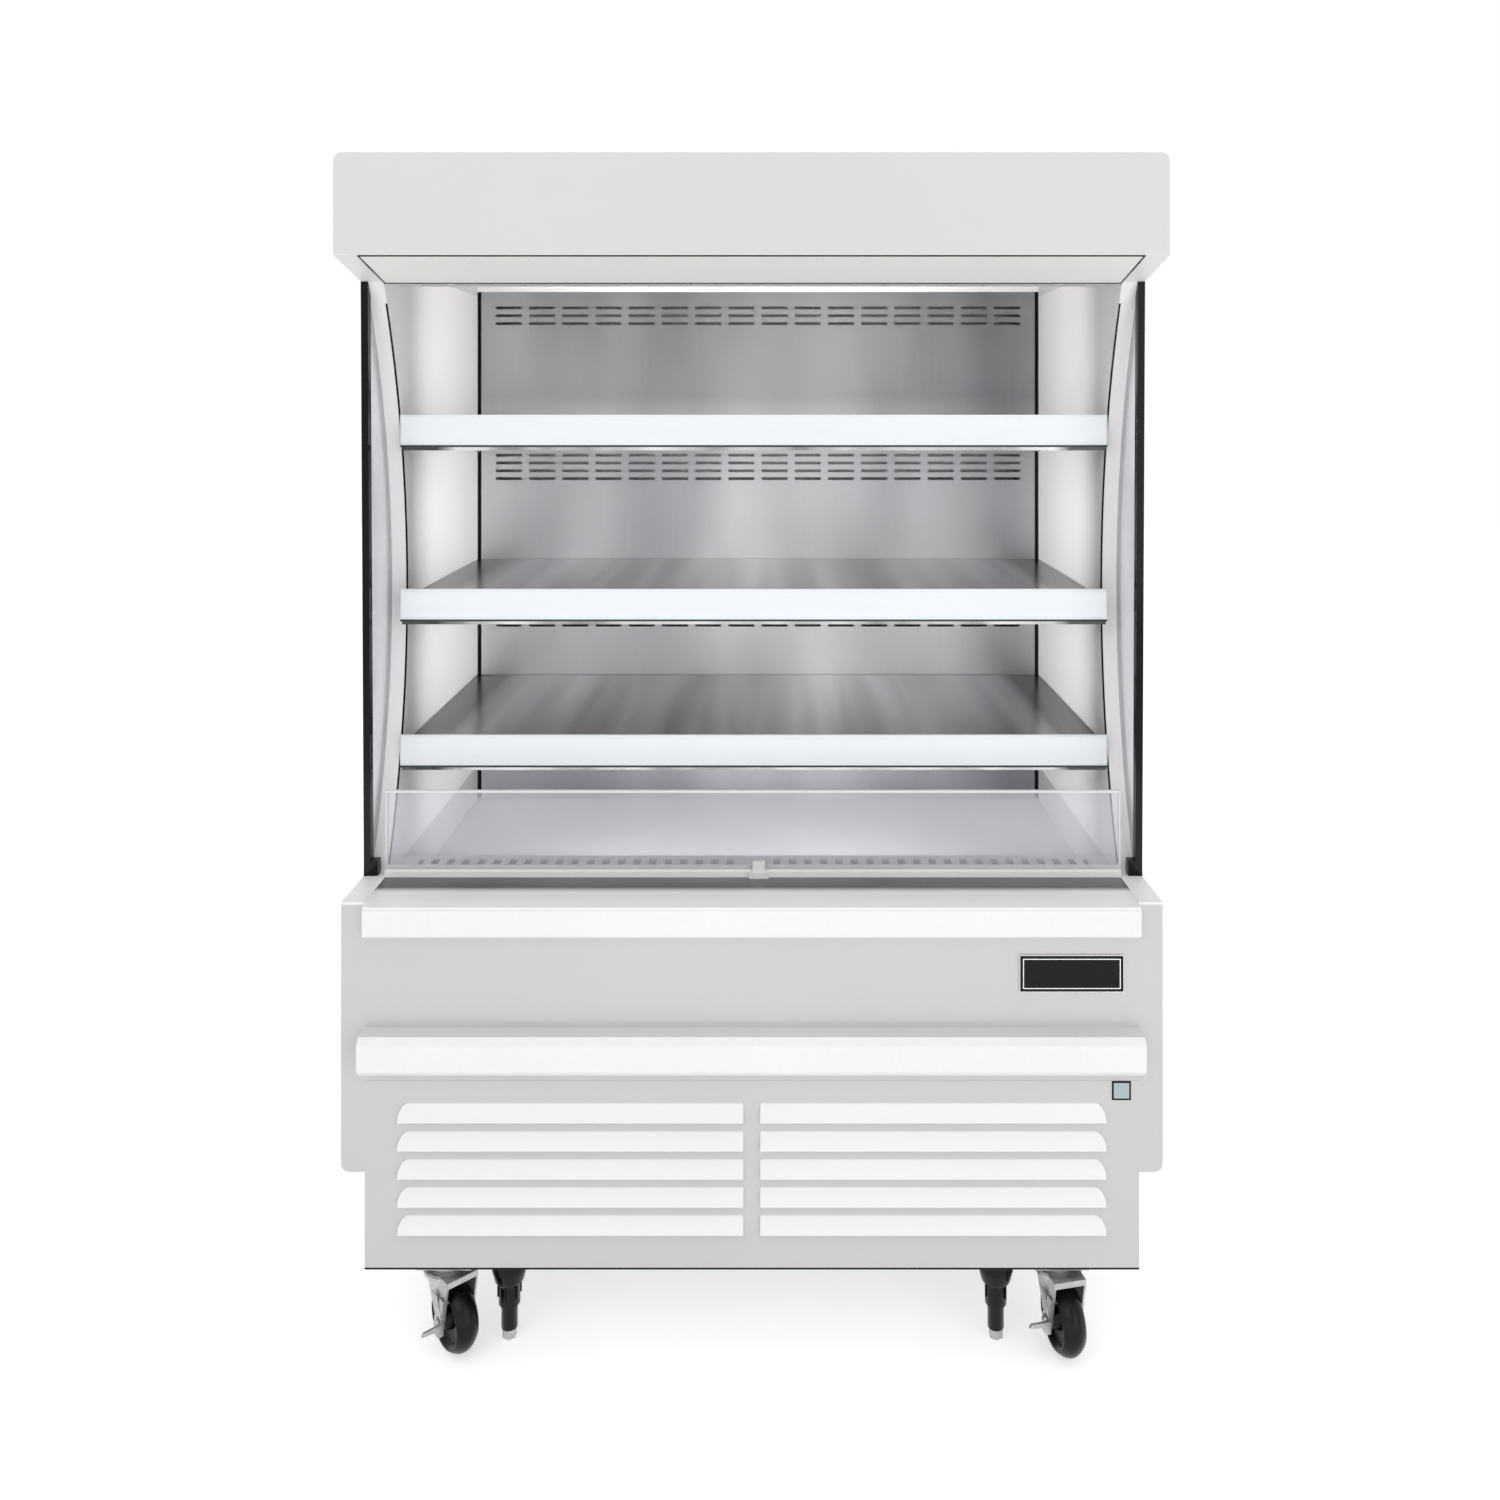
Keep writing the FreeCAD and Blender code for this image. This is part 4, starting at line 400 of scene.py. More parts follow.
# %% Assign them
SPECIAL = {
    "shelf_1": "shelf_steel", "shelf_2": "shelf_steel", "shelf_3": "shelf_steel",
    "back_panel": "panel_steel", "deck_pan": "deck_steel", "return_grille": "deck_steel",
    "ledge": "ledge_steel_and_reflection", "louvre_panel": "louvre_paint_and_highlight", "end_wall_left": "wall_left",
    "end_wall_right": "wall_right", "ticket_strips": "strip_white",
    "side_glass": "pane_glass", "riser_channel": "white_trim", "lower_bumper": "rail_white",
}
for subpart in frame["record"]["subparts"]:
    piece = frame["nodes"][subpart["node"]]
    piece.data.materials.clear()
    piece.data.materials.append(finishes[SPECIAL.get(subpart["node"], subpart["material_slot"])])

# %% [markdown]
# ## From a bmesh to a finished piece
# Every new piece goes the same way: merge doubles, turn the faces outwards, shade smooth with
# sharp edges kept sharp, take a finish, and ride on the body that carries it.

# %% Finish a piece
def new_piece(name, shape, finish, body="cabinet", sharp=35):
    """A piece from a bmesh, riding on a body, with its finish."""
    bmesh.ops.remove_doubles(shape, verts=shape.verts, dist=1e-6)
    bmesh.ops.recalc_face_normals(shape, faces=shape.faces)
    mesh = bpy.data.meshes.new(name)
    shape.to_mesh(mesh)
    shape.free()
    mesh.shade_smooth()
    mesh.set_sharp_from_angle(angle=math.radians(sharp))
    mesh.materials.append(finishes[finish])
    piece = bpy.data.objects.new(name, mesh)
    scene.collection.objects.link(piece)
    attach(piece, body)
    return piece


def round_off(shape, corners, reach, affect="EDGES"):
    """Bevel some edges of a bmesh, or its vertices where it is a flat outline."""
    bmesh.ops.bevel(shape, geom=corners, offset=reach, offset_type="OFFSET", affect=affect,
                    segments=2, profile=0.5, material=-1)


# %% [markdown]
# ## Boxes, cut sheet and turned shapes
# Four starting shapes make all of the small parts. A box is a scaled cube. Cut sheet is an
# outline pushed out along the X axis. A turned part is half a section spun about the X axis,
# with its corners rounded while it is still flat, because that is one bevel and not many. A
# hexagon is a cone with six sides and two equal ends.

# %% Starting shapes
def add_box(shape, low, high, reach=0.0):
    """Add a box with lightly rounded edges to a bmesh."""
    low, high = Vector(low), Vector(high)
    made = bmesh.ops.create_cube(shape, size=1.0)["verts"]
    bmesh.ops.scale(shape, vec=high - low, verts=made)
    bmesh.ops.translate(shape, vec=(low + high) / 2, verts=made)
    if reach:
        round_off(shape, list({edge for vert in made for edge in vert.link_edges}), reach)
    return shape


def cut_sheet(outline, start, end, reach=0.0):
    """Push an outline of (Y, Z) points along the X axis, from start to end."""
    shape = bmesh.new()
    face = shape.faces.new([shape.verts.new((start, y, z)) for y, z in outline])
    grown = bmesh.ops.extrude_face_region(shape, geom=[face])["geom"]
    moved = [thing for thing in grown if isinstance(thing, bmesh.types.BMVert)]
    bmesh.ops.translate(shape, vec=(end - start, 0, 0), verts=moved)
    bmesh.ops.recalc_face_normals(shape, faces=shape.faces)
    if reach:
        round_off(shape, shape.edges[:], reach)
    return shape


def turned(section, steps, reach=0.0):
    """Spin a closed half section, given as (along, radius) points, about the X axis."""
    shape = bmesh.new()
    face = shape.faces.new([shape.verts.new((along, 0, radius)) for along, radius in section])
    if reach:
        round_off(shape, shape.verts[:], reach, "VERTICES")
    bmesh.ops.delete(shape, geom=shape.faces[:], context="FACES_ONLY")
    bmesh.ops.spin(shape, geom=shape.verts[:] + shape.edges[:], cent=(0, 0, 0), axis=(1, 0, 0),
                   dvec=(0, 0, 0), angle=math.tau, steps=steps, use_merge=True,
                   use_duplicate=False)
    return shape


def add_to(whole, part, place=Matrix.Identity(4)):
    """Move a bmesh into place and join it to another one."""
    bmesh.ops.transform(part, matrix=place, verts=part.verts)
    held = bpy.data.meshes.new("held")
    part.to_mesh(held)
    part.free()
    whole.from_mesh(held)
    bpy.data.meshes.remove(held)
    return whole


def hexagon(radius, depth, reach):
    """A six-sided bar along Z with rounded edges."""
    shape = bmesh.new()
    bmesh.ops.create_cone(shape, cap_ends=True, segments=6, radius1=radius, radius2=radius,
                          depth=depth)
    round_off(shape, shape.edges[:], reach)
    return shape


MM = 0.001
# lays +X along +Z
UPRIGHT = Matrix.Rotation(math.radians(-90), 4, "Y")
print("helpers: new_piece, add_box, cut_sheet, turned, add_to, hexagon")

# %% [markdown]
# ## The lamp cover's gasket
# The sloping diffuser under the canopy is held in a thin dark gasket, which draws a sharp outline
# round it. Its front and back runs are boxes, and the two sides follow the slope, so they are
# cut from the slope's own line, which is read off the cover.

# %% Lamp cover gasket
cover_low, cover_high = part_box("lamp_cover")
cover_points = [vert.co for vert in frame["nodes"]["lamp_cover"].data.vertices]
front = min(cover_points, key=lambda point: (round(point.y, 4), point.z))
rear = min(cover_points, key=lambda point: point.z)
GASKET = 2.2 * MM
GASKET_DEEP = 1.0 * MM
GASKET_LAP = 0.6 * MM
gasket = bmesh.new()
add_box(gasket, (cover_low.x, cover_low.y - GASKET_LAP, front.z - GASKET_DEEP),
        (cover_high.x, cover_low.y + GASKET, front.z + GASKET / 2))
add_box(gasket, (cover_low.x, rear.y - GASKET, rear.z - GASKET_DEEP),
        (cover_high.x, rear.y + GASKET_LAP, rear.z + GASKET / 2))
slope = [(front.y, front.z), (rear.y, rear.z), (rear.y, rear.z - GASKET_DEEP),
         (front.y, front.z - GASKET_DEEP)]
for start in (cover_low.x, cover_high.x - GASKET):
    add_to(gasket, cut_sheet(slope, start, start + GASKET))
new_piece("lamp_cover_gasket", gasket, "black_plastic")
print("gasket from", [round(value, 4) for value in front.yz], "to",
      [round(value, 4) for value in rear.yz])

# %% [markdown]
# ## Beads along the curved walls
# A dark bead follows the C-shaped front edge of each end wall, on its inner corner. The bead is
# a ribbon: the curve's own points, read from the wall's inner face between two depths that leave
# out the wall's other corners, and the same points moved back, pushed out sideways into the
# wall's thickness.

# %% Curved beads
BEAD_PROUD = 0.8 * MM
BEAD_DEEP = 1.6 * MM
BEAD_WIDE = 2.4 * MM
BEAD_SUNK = 0.2 * MM
CURVE_FRONT = cover_low.y + 0.1
CURVE_REAR = -0.15
for side, sign in (("left", -1), ("right", 1)):
    wall = frame["nodes"][f"end_wall_{side}"]
    inner_x = min(abs(vert.co.x) for vert in wall.data.vertices)
    curve = sorted({(round(vert.co.z, 5), round(vert.co.y, 5)) for vert in wall.data.vertices
                    if abs(abs(vert.co.x) - inner_x) < MM / 10
                    and wing_top - MM < vert.co.z < cover_low.z + MM
                    and CURVE_FRONT < vert.co.y < CURVE_REAR})
    ribbon = [(y - BEAD_PROUD, z) for z, y in curve]
    ribbon += [(y + BEAD_DEEP, z) for z, y in reversed(curve)]
    bead = cut_sheet(ribbon, sign * (inner_x - BEAD_SUNK), sign * (inner_x + BEAD_WIDE))
    new_piece(f"curve_bead_{side}", bead, "black_plastic")
    print("bead", side, "follows", len(curve), "points")

# %% [markdown]
# ## Ticket strips
# A ticket strip is a white extrusion that holds price cards behind two small lips. A dark line
# runs along its bottom edge, and a grey cap closes each end. All of it sits on the face of the
# CAD strip, at the three heights of the shelves.

# %% Lips, lines and caps of the ticket strips
strip_low, strip_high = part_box("ticket_strips")
SHELF_NAMES = ("shelf_1", "shelf_2", "shelf_3")
STRIP_TALL = 51 * MM
STRIP_ABOVE = 18 * MM
LIP, LIP_PROUD, LIP_SUNK = 3.5 * MM, 1.2 * MM, 0.2 * MM
LINE, LINE_PROUD, LINE_SUNK, LINE_DROP = 1.8 * MM, 0.9 * MM, 3 * MM, 1.4 * MM
CAP, CAP_PROUD, CAP_SUNK = 1.4 * MM, 1.3 * MM, 0.3 * MM
lips, lines, caps = bmesh.new(), bmesh.new(), bmesh.new()
face_y = strip_low.y
for shelf in SHELF_NAMES:
    strip_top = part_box(shelf)[1].z + STRIP_ABOVE
    strip_foot = strip_top - STRIP_TALL
    for lip_z in (strip_top - LIP, strip_foot + LINE):
        add_box(lips, (strip_low.x + CAP, face_y - LIP_PROUD, lip_z),
                (strip_high.x - CAP, face_y + LIP_SUNK, lip_z + LIP), 0.5 * MM)
    add_box(lines, (strip_low.x, face_y - LINE_PROUD, strip_foot - LINE_DROP),
            (strip_high.x, face_y + LINE_SUNK, strip_foot + LINE), 0.2 * MM)
    for end_x in (strip_low.x, strip_high.x - CAP):
        add_box(caps, (end_x, face_y - CAP_PROUD, strip_foot + LINE),
                (end_x + CAP, face_y + CAP_SUNK, strip_top), 0.3 * MM)
new_piece("strip_lips", lips, "strip_white")
new_piece("strip_lines", lines, "strip_line")
new_piece("strip_caps", caps, "bright_line")
print("ticket strips dressed:", len(SHELF_NAMES))

# %% [markdown]
# ## Polished edges of the riser
# Cut and polished clear sheet is bright along its edges, because light that travels inside it
# leaves there. The CAD riser is one clear block, so bright strips along its top and its two ends
# stand for that light at the polished edge, as a painted highlight.

# %% Riser edge highlights
riser_low, riser_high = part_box("riser_glass")
EDGE = 2.2 * MM
TOP_EDGE = 3.6 * MM
EDGE_PROUD = 0.2 * MM
EDGE_ROUND = 0.7 * MM
IN_CHANNEL = 15 * MM
edge_highlights = bmesh.new()
bead_front, bead_back = riser_low.y - EDGE_PROUD, riser_high.y + EDGE_PROUD
add_box(edge_highlights, (riser_low.x, bead_front, riser_high.z - TOP_EDGE),
        (riser_high.x, bead_back, riser_high.z), EDGE_ROUND)
for end_x in (riser_low.x, riser_high.x - EDGE):
    add_box(edge_highlights, (end_x, bead_front, riser_low.z + IN_CHANNEL),
            (end_x + EDGE, bead_back, riser_high.z - TOP_EDGE), EDGE_ROUND)
new_piece("riser_edge_highlights", edge_highlights, "clip_plastic")
print("riser edge:", round(riser_high.x - riser_low.x, 3), "m long")

# %% [markdown]
# ## The two plates
# Both plates on the front are blank. The large one is black with a fine bright line set in from
# its edge, and the small one has a pale field in a dark border. The line is a frame of four
# thin boxes that stand a little proud.

# %% Bright line and pale field
def add_frame(shape, low, high, inset, wide, proud):
    """Add a thin frame that stands a little proud of a plate facing -Y."""
    left, right = low.x + inset, high.x - inset
    foot, top = low.z + inset, high.z - inset
    front, back = low.y - proud, low.y + proud
    runs = [(left, foot, right, foot + wide), (left, top - wide, right, top),
            (left, foot + wide, left + wide, top - wide),
            (right - wide, foot + wide, right, top - wide)]
    for x0, z0, x1, z1 in runs:
        add_box(shape, (x0, front, z0), (x1, back, z1))


def plate_box(height_low, height_high):
    """The corners of the blank plate that lies between two heights."""
    points = [vert.co for vert in frame["nodes"]["blank_plates"].data.vertices
              if height_low < vert.co.z < height_high]
    low = Vector([min(point[axis] for point in points) for axis in range(3)])
    high = Vector([max(point[axis] for point in points) for axis in range(3)])
    return low, high


BADGE_HEIGHTS = (0.5, 0.7)
INFO_HEIGHTS = (0.3, 0.5)
BADGE_LINE = dict(inset=4.2 * MM, wide=1.3 * MM, proud=0.4 * MM)
BADGE_RIM = dict(inset=-0.9 * MM, wide=0.9 * MM, proud=0.5 * MM)
RIM_BACK = 0.6 * MM
FIELD_INSET, FIELD_PROUD, FIELD_SUNK = 2.6 * MM, 0.3 * MM, 0.2 * MM
badge_low, badge_high = plate_box(*BADGE_HEIGHTS)
info_low, info_high = plate_box(*INFO_HEIGHTS)
bright = bmesh.new()
add_frame(bright, badge_low, badge_high, **BADGE_LINE)
new_piece("badge_line", bright, "bright_line")
rim = bmesh.new()
add_frame(rim, badge_low + Vector((0, RIM_BACK, 0)), badge_high, **BADGE_RIM)
new_piece("badge_rim", rim, "bright_line")
field = add_box(bmesh.new(), (info_low.x + FIELD_INSET, info_low.y - FIELD_PROUD,
                              info_low.z + FIELD_INSET),
                (info_high.x - FIELD_INSET, info_low.y + FIELD_SUNK, info_high.z - FIELD_INSET))
new_piece("info_field", field, "plate_field")
print("badge:", [round(size, 3) for size in (badge_high - badge_low)])

# %% [markdown]
# ## Dark line under the front panel
# The bottom edge of the base shows as a dark line across the whole width: the shadow gap under
# the panel. A narrow black box under the panel's edge stands for it, as painted shade.

# %% Bottom shadow strip
panel_low, panel_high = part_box("louvre_panel")
SHADOW_STRIP, SHADOW_STRIP_PROUD, SHADOW_STRIP_DEEP = 2.6 * MM, 0.6 * MM, 2.4 * MM
shadow_strip = add_box(bmesh.new(), (panel_low.x, hood_base - SHADOW_STRIP_PROUD, panel_low.z - SHADOW_STRIP),
                 (panel_high.x, hood_base + SHADOW_STRIP_DEEP, panel_low.z), 0.4 * MM)
new_piece("base_shadow_strip", shadow_strip, "black_plastic")
print("edging:", round(panel_high.x - panel_low.x, 3), "m long")

# %% [markdown]
# ## Moulded legs
# Each leg is a black moulding: a flared collar under the base, a body, and a narrower tube for
# the foot's thread. It is a turned part, so half its section is drawn with the leg's real sizes
# and spun, and its corners are rounded as a moulding's are. Six ribs under the collar's rim
# stiffen it.

# %% Legs
FEET = [name.replace("foot_screw", "levelling_foot") for name in joints
        if name.startswith("foot_screw_")]
leg_low, leg_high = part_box("leg_sockets")
BORE, TUBE, BODY, COLLAR_LOW, COLLAR = 6.3 * MM, 12.5 * MM, 16.5 * MM, 22.4 * MM, 27 * MM
BODY_Z, COLLAR_FOOT, COLLAR_Z, FLARE_Z = 58 * MM, 89 * MM, 95 * MM, 113 * MM
LEG_ROUND = 1.1 * MM
RIBS, FIRST_RIB = 6, math.radians(20)
RIB_LOW = (BODY - 1 * MM, -0.9 * MM, 70 * MM)
RIB_HIGH = (BODY + 2.2 * MM, 0.9 * MM, COLLAR_FOOT + 2 * MM)
leg_section = [(leg_low.z, BORE), (leg_low.z, TUBE), (BODY_Z, TUBE), (BODY_Z, BODY),
               (COLLAR_FOOT, BODY), (COLLAR_Z, COLLAR_LOW), (FLARE_Z, COLLAR),
               (leg_high.z, COLLAR), (leg_high.z, BORE)]


def foot_place(node):
    """The place of a foot's axis, on the floor."""
    low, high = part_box(node)
    return Matrix.Translation(((low.x + high.x) / 2, (low.y + high.y) / 2, 0))


legs = bmesh.new()
for node in FEET:
    place = foot_place(node)
    add_to(legs, turned(leg_section, 56, LEG_ROUND), place @ UPRIGHT)
    for number in range(RIBS):
        turn = Matrix.Rotation(FIRST_RIB + math.tau * number / RIBS, 4, "Z")
        add_to(legs, add_box(bmesh.new(), RIB_LOW, RIB_HIGH, 0.5 * MM), place @ turn)
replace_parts(new_piece("moulded_legs", legs, "black_plastic"), "leg_sockets")
print("legs:", len(FEET))

# %% [markdown]
# ## Threaded feet
# A foot is a zinc hexagon with chamfered corners on a threaded stem. The stem shows when the foot
# is screwed down, so it has its thread: a saw-tooth section spun round, with one tooth for each
# turn of the thread.

# %% Feet
HEX, HEX_GAP, HEX_ROUND = 11.4 * MM, 0.2 * MM, 0.7 * MM
SOLE, SOLE_TALL, SOLE_CORE = 8.6 * MM, 0.8 * MM, 0.4 * MM
STEM, STEM_CORE, THREAD, THREAD_FLAT = 6 * MM, 1.0 * MM, 0.7 * MM, 0.05 * MM
THREAD_PITCH = 1.75 * MM
THREAD_TURNS = 20
for node in FEET:
    place = foot_place(node)
    foot_low, foot_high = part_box(node)
    head_low, head_high = foot_low.z + SOLE_TALL, leg_low.z
    stem_low, sole_high = head_high - MM, head_low + MM
    foot = bmesh.new()
    add_to(foot, hexagon(HEX, head_high - head_low - HEX_GAP, HEX_ROUND),
           place @ Matrix.Translation((0, 0, (head_low + head_high) / 2)))
    sole = [(foot_low.z, SOLE_CORE), (foot_low.z, SOLE), (sole_high, SOLE + MM),
            (sole_high, SOLE_CORE)]
    add_to(foot, turned(sole, 48), place @ UPRIGHT)
    stem = [(stem_low, STEM_CORE)]
    for turn in range(THREAD_TURNS):
        along = stem_low + turn * THREAD_PITCH
        stem += [(along, STEM - THREAD), (along + THREAD_PITCH / 2, STEM - THREAD_FLAT)]
    stem += [(foot_high.z, STEM - THREAD), (foot_high.z, STEM_CORE)]
    add_to(foot, turned(stem, 32), place @ UPRIGHT)
    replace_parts(new_piece(f"screw_{node}", foot, "zinc", body=node), node)
print("threaded feet:", len(FEET))

# %% [markdown]
# ## Castor wheels
# The wheel is a soft black tyre over a recessed web. Its section runs from the bored hub out
# along the web, up the lip and over the crown, whose height falls off with the square of the
# distance from the middle. The section is mirrored and spun.

# %% Wheels
RADIUS, HALF, SIDE = 51 * MM, 18 * MM, 42 * MM
HUB_END, HUB_BORE, HUB_LOW, HUB = 22.2 * MM, 5.4 * MM, 11.9 * MM, 17 * MM
WEB, WEB_ROUND, WEB_OUT = 8.1 * MM, 2 * MM, 33.6 * MM
LIP_SET, LIP_FOOT, LIP_TOP = 0.6 * MM, SIDE * 0.9, SIDE * 0.93
CROWN_STEPS = 12


def along_axis(joint_name):
    """The place and turn that lay +X along a wheel's axle, with +Z still upwards."""
    joint = joints[joint_name]
    axle = Vector(joint["axis"])
    turn = Matrix.Rotation(math.atan2(axle.y, axle.x), 4, "Z")
    return Matrix.Translation(joint["pos_m"]) @ turn


side_section = [(HUB_END, HUB_BORE), (HUB_END, HUB_LOW), (WEB, HUB),
                (WEB, WEB_OUT - WEB_ROUND), (WEB + WEB_ROUND, WEB_OUT),
                (HALF - LIP_SET, LIP_FOOT), (HALF, LIP_TOP)]
crown = []
for step in range(CROWN_STEPS + 1):
    across = HALF - 2 * HALF * step / CROWN_STEPS
    crown.append((across, RADIUS - (RADIUS - SIDE) * (across / HALF) ** 2))
far_side = [(-along, radius) for along, radius in reversed(side_section)]
wheel_section = side_section + crown + far_side
CORNERS = ("front_left", "front_right", "rear_left", "rear_right")
for corner in CORNERS:
    place = along_axis(f"wheel_spin_{corner}")
    wheel = add_to(bmesh.new(), turned(wheel_section, 96), place)
    node = f"castor_wheel_{corner}"
    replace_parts(new_piece(f"tyre_{corner}", wheel, "wheel_rubber", body=node, sharp=50), node)
print("wheel section points:", len(wheel_section))

# %% [markdown]
# ## Castor hardware
# What makes a castor read as one is its small steel parts: the domed bolt through the arms with
# its washer, the nut on the other end, the rolled rim round the swivel head, and a pressed rib
# down each arm that no brake pedal covers. They are added to the CAD fork. The swivel head turns
# about the stem, which stands a trail's length from the axle.

# %% Bolts, nuts, rims and ribs
ARM_OUT, PEDAL_OUT, TRAIL = 25.5 * MM, 28.3 * MM, 22 * MM
ARM_GAP, PEDAL_GAP = 0.1 * MM, 0.5 * MM
WASHER, WASHER_THICK, WASHER_CORE = 8.4 * MM, 1.2 * MM, 0.5 * MM
DOME, DOME_RISE, DOME_CORE, DOME_STEPS = 7.2 * MM, 4.6 * MM, 0.4 * MM, 9
NUT, NUT_TALL, NUT_OUT = 7.6 * MM, 5.2 * MM, 2.8 * MM
RIM_IN, RIM_OUT, RIM_LOW, RIM_HIGH = 35.4 * MM, 37.4 * MM, 113.2 * MM, 118.6 * MM
PRESS_LOW = (ARM_OUT - 0.4 * MM, -7 * MM, 68 * MM)
PRESS_HIGH = (ARM_OUT + 1.0 * MM, 1 * MM, 106 * MM)
rim_section = [(RIM_LOW, RIM_IN), (RIM_LOW, RIM_OUT), (RIM_HIGH, RIM_OUT), (RIM_HIGH, RIM_IN)]
nut_seat = (Matrix.Translation((ARM_OUT + NUT_OUT, 0, 0))
            @ Matrix.Rotation(math.radians(90), 4, "Y"))
for corner in CORNERS:
    braked = corner.startswith("front")
    place = along_axis(f"wheel_spin_{corner}")
    seat = PEDAL_OUT + PEDAL_GAP if braked else ARM_OUT + ARM_GAP
    head = seat + WASHER_THICK
    hardware = bmesh.new()
    washer = [(-seat, WASHER_CORE), (-seat, WASHER), (-head, WASHER), (-head, WASHER_CORE)]
    add_to(hardware, turned(washer, 40, 0.3 * MM), place)
    dome = [(-head, DOME_CORE), (-head, DOME)]
    for step in range(1, DOME_STEPS):
        rise = math.radians(90 * step / DOME_STEPS)
        dome.append((-head - DOME_RISE * math.sin(rise), DOME * math.cos(rise)))
    dome.append((-head - DOME_RISE - 0.1 * MM, DOME_CORE))
    add_to(hardware, turned(dome, 40), place)
    add_to(hardware, hexagon(NUT, NUT_TALL, 0.6 * MM), place @ nut_seat)
    stem = place @ Matrix.Translation((0, TRAIL, 0))
    stem.translation.z = 0
    add_to(hardware, turned(rim_section, 56, 0.8 * MM), stem @ UPRIGHT)
    for sign in ((1,) if braked else (-1, 1)):
        rib = add_box(bmesh.new(), PRESS_LOW, PRESS_HIGH, 0.7 * MM)
        flip = Matrix.Scale(sign, 4, (1, 0, 0))
        add_to(hardware, rib, stem @ flip @ Matrix.Translation((0, -TRAIL / 2, 0)))
    new_piece(f"hardware_{corner}", hardware, "zinc", body=f"castor_fork_{corner}")
print("castors with hardware:", len(CORNERS))

# %% [markdown]
# ## Brake link and tab
# Over the pedal's lever lies a stamped step, and a short tab shows under the bolt. Both are
# folded sheet, so they are cut outlines with rounded edges, set on the pedal's outer face.

# %% Brake link and tab
LEVER_IN, STEP_THICK, STEP_SUNK, FOLD = 25.9 * MM, 1.6 * MM, 0.3 * MM, 0.6 * MM
BRAKED = ("front_left", "front_right")
link_outline = [(-11 * MM, 12 * MM), (9 * MM, 12 * MM), (13 * MM, 26 * MM), (17 * MM, 41 * MM),
                (2 * MM, 41 * MM), (-4 * MM, 27 * MM)]
tab_outline = [(-6 * MM, -20 * MM), (7 * MM, -20 * MM), (9 * MM, -9.8 * MM),
               (-7 * MM, -9.8 * MM)]
for corner in BRAKED:
    place = along_axis(f"wheel_spin_{corner}")
    link = bmesh.new()
    step = cut_sheet(link_outline, -PEDAL_OUT - STEP_THICK, -PEDAL_OUT + STEP_SUNK, FOLD)
    add_to(link, step, place)
    add_to(link, cut_sheet(tab_outline, -PEDAL_OUT, -LEVER_IN, FOLD), place)
    new_piece(f"brake_link_{corner}", link, "zinc", body=f"brake_pedal_{corner}")
print("brake links:", len(BRAKED))

# %% [markdown]
# ## White surroundings
# Product pictures stand on pure white. Turning the lamps up would burn the pale paint out, so
# the surroundings are made bright only where something looks at them: Light Path says whether a
# ray comes from the camera, a reflection or a clear sheet. For all other light they stay at a
# plain level.

# %% How brightly the surroundings show
def shown_level(tree, lit, seen):
    """A strength that is seen for the camera, gloss and clear sheet, and lit for all else."""
    rays = tree.nodes.new("ShaderNodeLightPath")
    total = rays.outputs["Is Camera Ray"]
    for kind in ("Is Transmission Ray", "Is Glossy Ray"):
        larger = tree.nodes.new("ShaderNodeMath")
        larger.operation = "MAXIMUM"
        tree.links.new(total, larger.inputs[0])
        tree.links.new(rays.outputs[kind], larger.inputs[1])
        total = larger.outputs["Value"]
    return spread_between(tree, total, lit, seen)


# %% The floor and the world
FLOOR_HALF = 12.0
FLOOR_GLOW = 0.5
WORLD_LIGHT = 0.66
floor_bm = bmesh.new()
bmesh.ops.create_grid(floor_bm, x_segments=1, y_segments=1, size=FLOOR_HALF)
floor_mesh = bpy.data.meshes.new("floor")
floor_bm.to_mesh(floor_mesh)
floor_bm.free()
floor = bpy.data.objects.new("floor", floor_mesh)
scene.collection.objects.link(floor)
floor_finish = grained_finish("floor", ((244, 244, 244), (248, 248, 248)), 0.7,
                              grain=(3, 3, 3), relief=0.0)
floor.data.materials.append(floor_finish)
floor_tree = floor_finish.node_tree
floor_shader = floor_tree.nodes["Principled BSDF"]
floor_shader.inputs["Emission Color"].default_value = (1, 1, 1, 1)
floor_tree.links.new(shown_level(floor_tree, 0.0, FLOOR_GLOW),
                     floor_shader.inputs["Emission Strength"])

scene.view_settings.view_transform = "Standard"
world = bpy.data.worlds.new("studio")
scene.world = world
world.use_nodes = True
sky = world.node_tree.nodes["Background"]
sky.inputs["Color"].default_value = (1, 1, 1, 1)
world.node_tree.links.new(shown_level(world.node_tree, WORLD_LIGHT, 1.0),
                          sky.inputs["Strength"])
print("floor glow:", FLOOR_GLOW, "world light:", WORLD_LIGHT)

# %% [markdown]
# ## Lamps
# Three large lamps give soft shape from the front and from above, and a low one stands for the
# light that a white floor throws up under the canopy. The shelf space is a deep box that they
# hardly reach, and the real one has its own lamp. So each bay between two shelves gets a lamp
# just behind the ticket strip and shining inwards, with a narrowed spread that spares the walls
# beside it. These don't show in the steel, where they would look like windows.

# %% Soft lamps
def soft_lamp(name, place, aim, size, power):
    """A rectangular lamp, width by height, that points at a spot on the cabinet."""
    data = bpy.data.lights.new(name, "AREA")
    data.shape = "RECTANGLE"
    data.size, data.size_y = size
    data.energy = power
    lamp = bpy.data.objects.new(name, data)
    lamp.location = place
    lamp.rotation_euler = (Vector(aim) - Vector(place)).to_track_quat("-Z", "Y").to_euler()
    lamp.visible_camera = False
    scene.collection.objects.link(lamp)
    return lamp


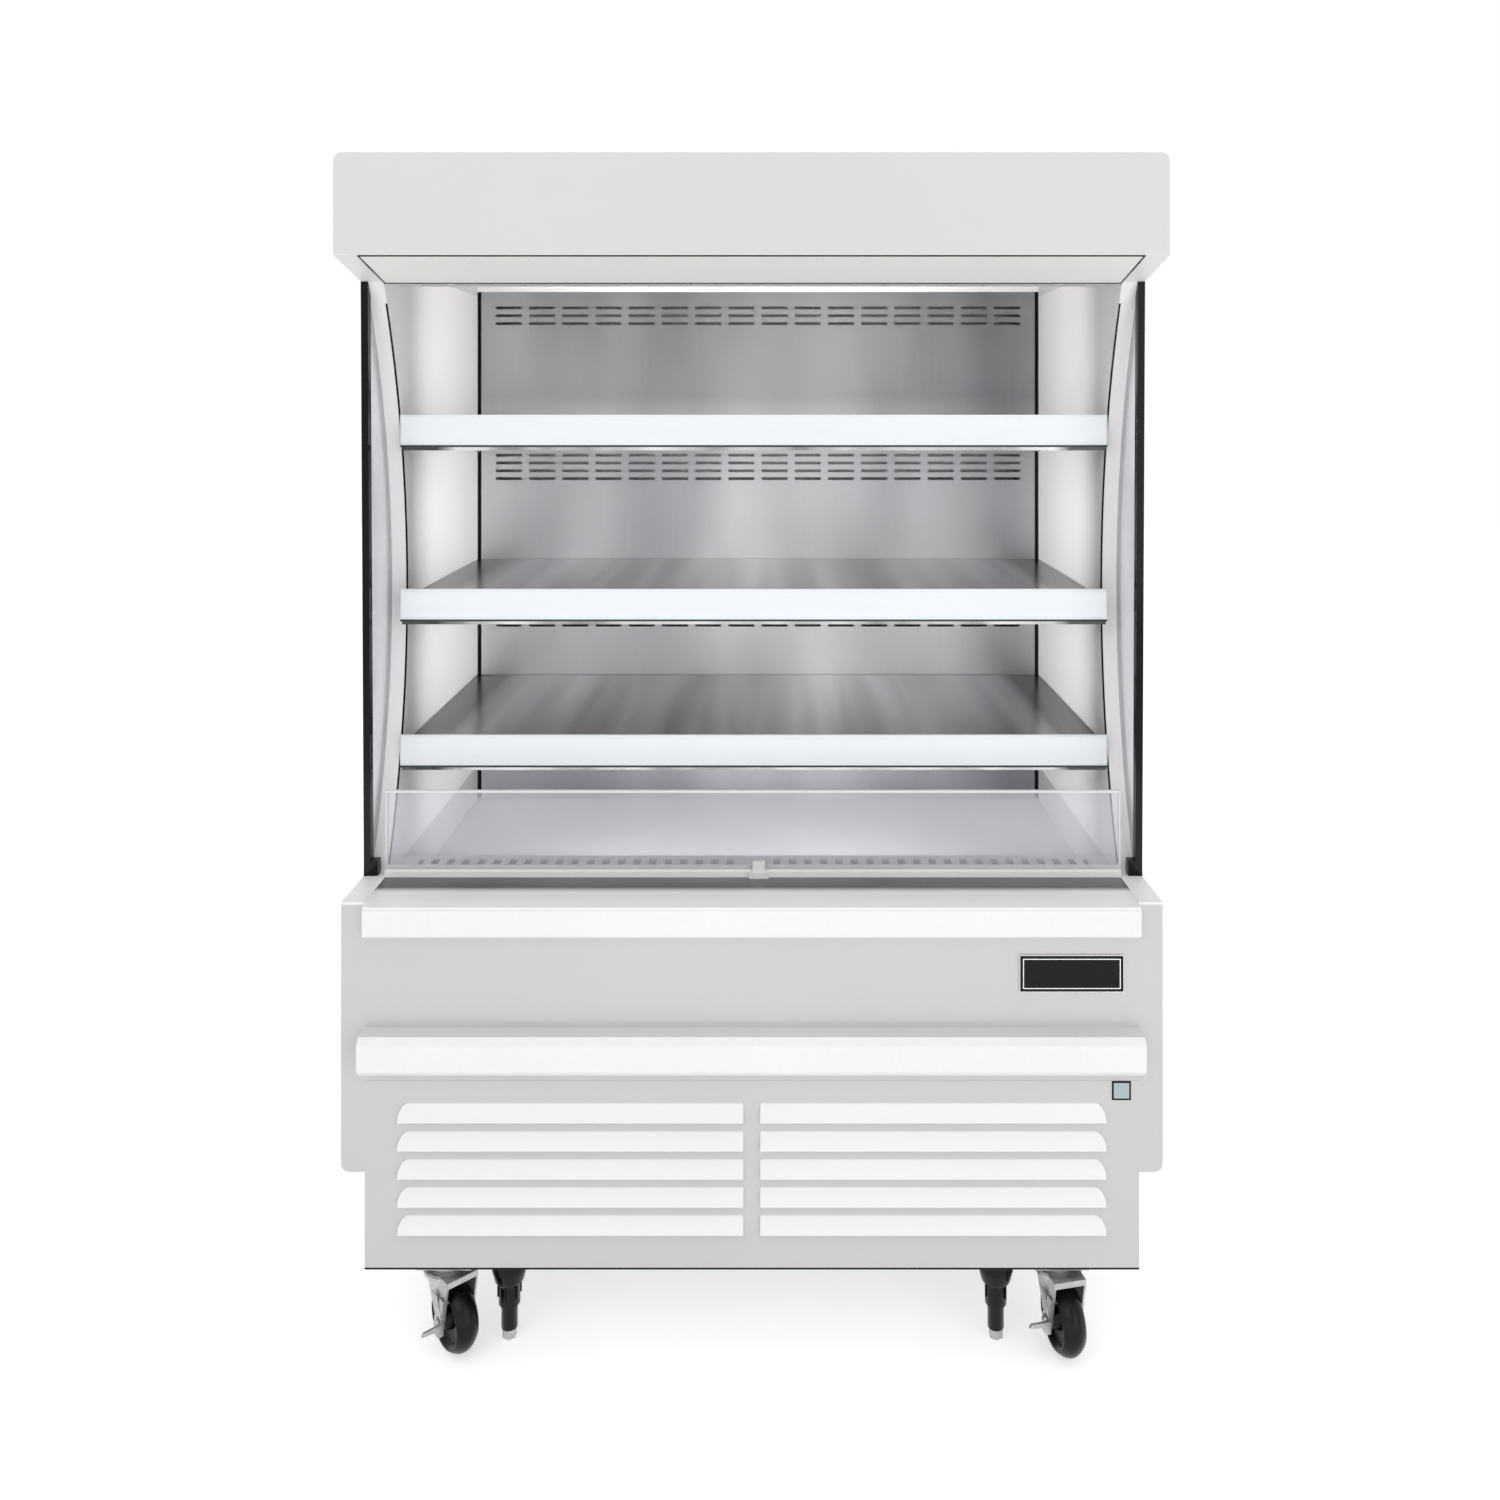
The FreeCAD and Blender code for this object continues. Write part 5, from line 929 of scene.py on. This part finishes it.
middle = (0, 0, cad_box[1][2] / 2)
LAMPS = {
    # place, aim, width and height in metres, and watts
    "key": ((-1.6, -3.4, 3.0), middle, (2.4, 2.4), 22),
    "fill": ((2.2, -3.2, 1.6), middle, (2.4, 2.4), 19.5),
    "above": ((0, -0.6, 4.0), middle, (2.0, 2.0), 14),
    "low": ((0, -1.7, 0.15), (0, -0.3, 1.7), (2.4, 0.5), 3.2),
}
for name, row in LAMPS.items():
    soft_lamp(name, *row)
# watts for each square metre of lamp, from the deck up
BAY_LEVELS = (34.0, 38.5, 34.0, 22.5)
BAY_WIDE = 0.8
BAY_SHARE = 0.8
BAY_SPREAD = 155
BEHIND_STRIP = 0.006
bay_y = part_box("shelf_1")[0].y + BEHIND_STRIP
shelf_boxes = [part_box(name) for name in reversed(SHELF_NAMES)]
bay_floors = [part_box("return_grille")[1].z] + [high.z for low, high in shelf_boxes]
bay_tops = [low.z for low, high in shelf_boxes] + [cover_low.z]
for number, (foot, head, level) in enumerate(zip(bay_floors, bay_tops, BAY_LEVELS), 1):
    height, mid = (head - foot) * BAY_SHARE, (head + foot) / 2
    bay = soft_lamp(f"bay_{number}", (0, bay_y, mid), (0, 1, mid), (BAY_WIDE, height),
                    level * BAY_WIDE * height)
    bay.data.spread = math.radians(BAY_SPREAD)
    bay.visible_glossy = False

# %% [markdown]
# ## Camera
# The upright edges are parallel in the photograph, so the camera looks level, from the height of
# the top shelf and a little right of the middle. Shifting the picture, and not tipping the
# camera, brings the whole cabinet into the frame.

# %% The camera
PICTURE = 1500
FOCAL_PIXELS = 1252
EYE_LEVEL_PIXEL = 400
CENTRE_LINE_PIXEL = 774
SENSOR = 36.0
EYE = (0.0328, -2.2635, 1.442)
camera_data = bpy.data.cameras.new("camera")
camera_data.sensor_width = SENSOR
camera_data.lens = FOCAL_PIXELS / PICTURE * SENSOR
camera_data.shift_x = (PICTURE / 2 - CENTRE_LINE_PIXEL) / PICTURE
camera_data.shift_y = (EYE_LEVEL_PIXEL - PICTURE / 2) / PICTURE
camera = bpy.data.objects.new("camera", camera_data)
camera.location = EYE
camera.rotation_euler = (math.radians(90), 0, 0)
scene.collection.objects.link(camera)
scene.camera = camera
print("lens:", round(camera_data.lens, 2), "mm, shift", round(camera_data.shift_y, 4))
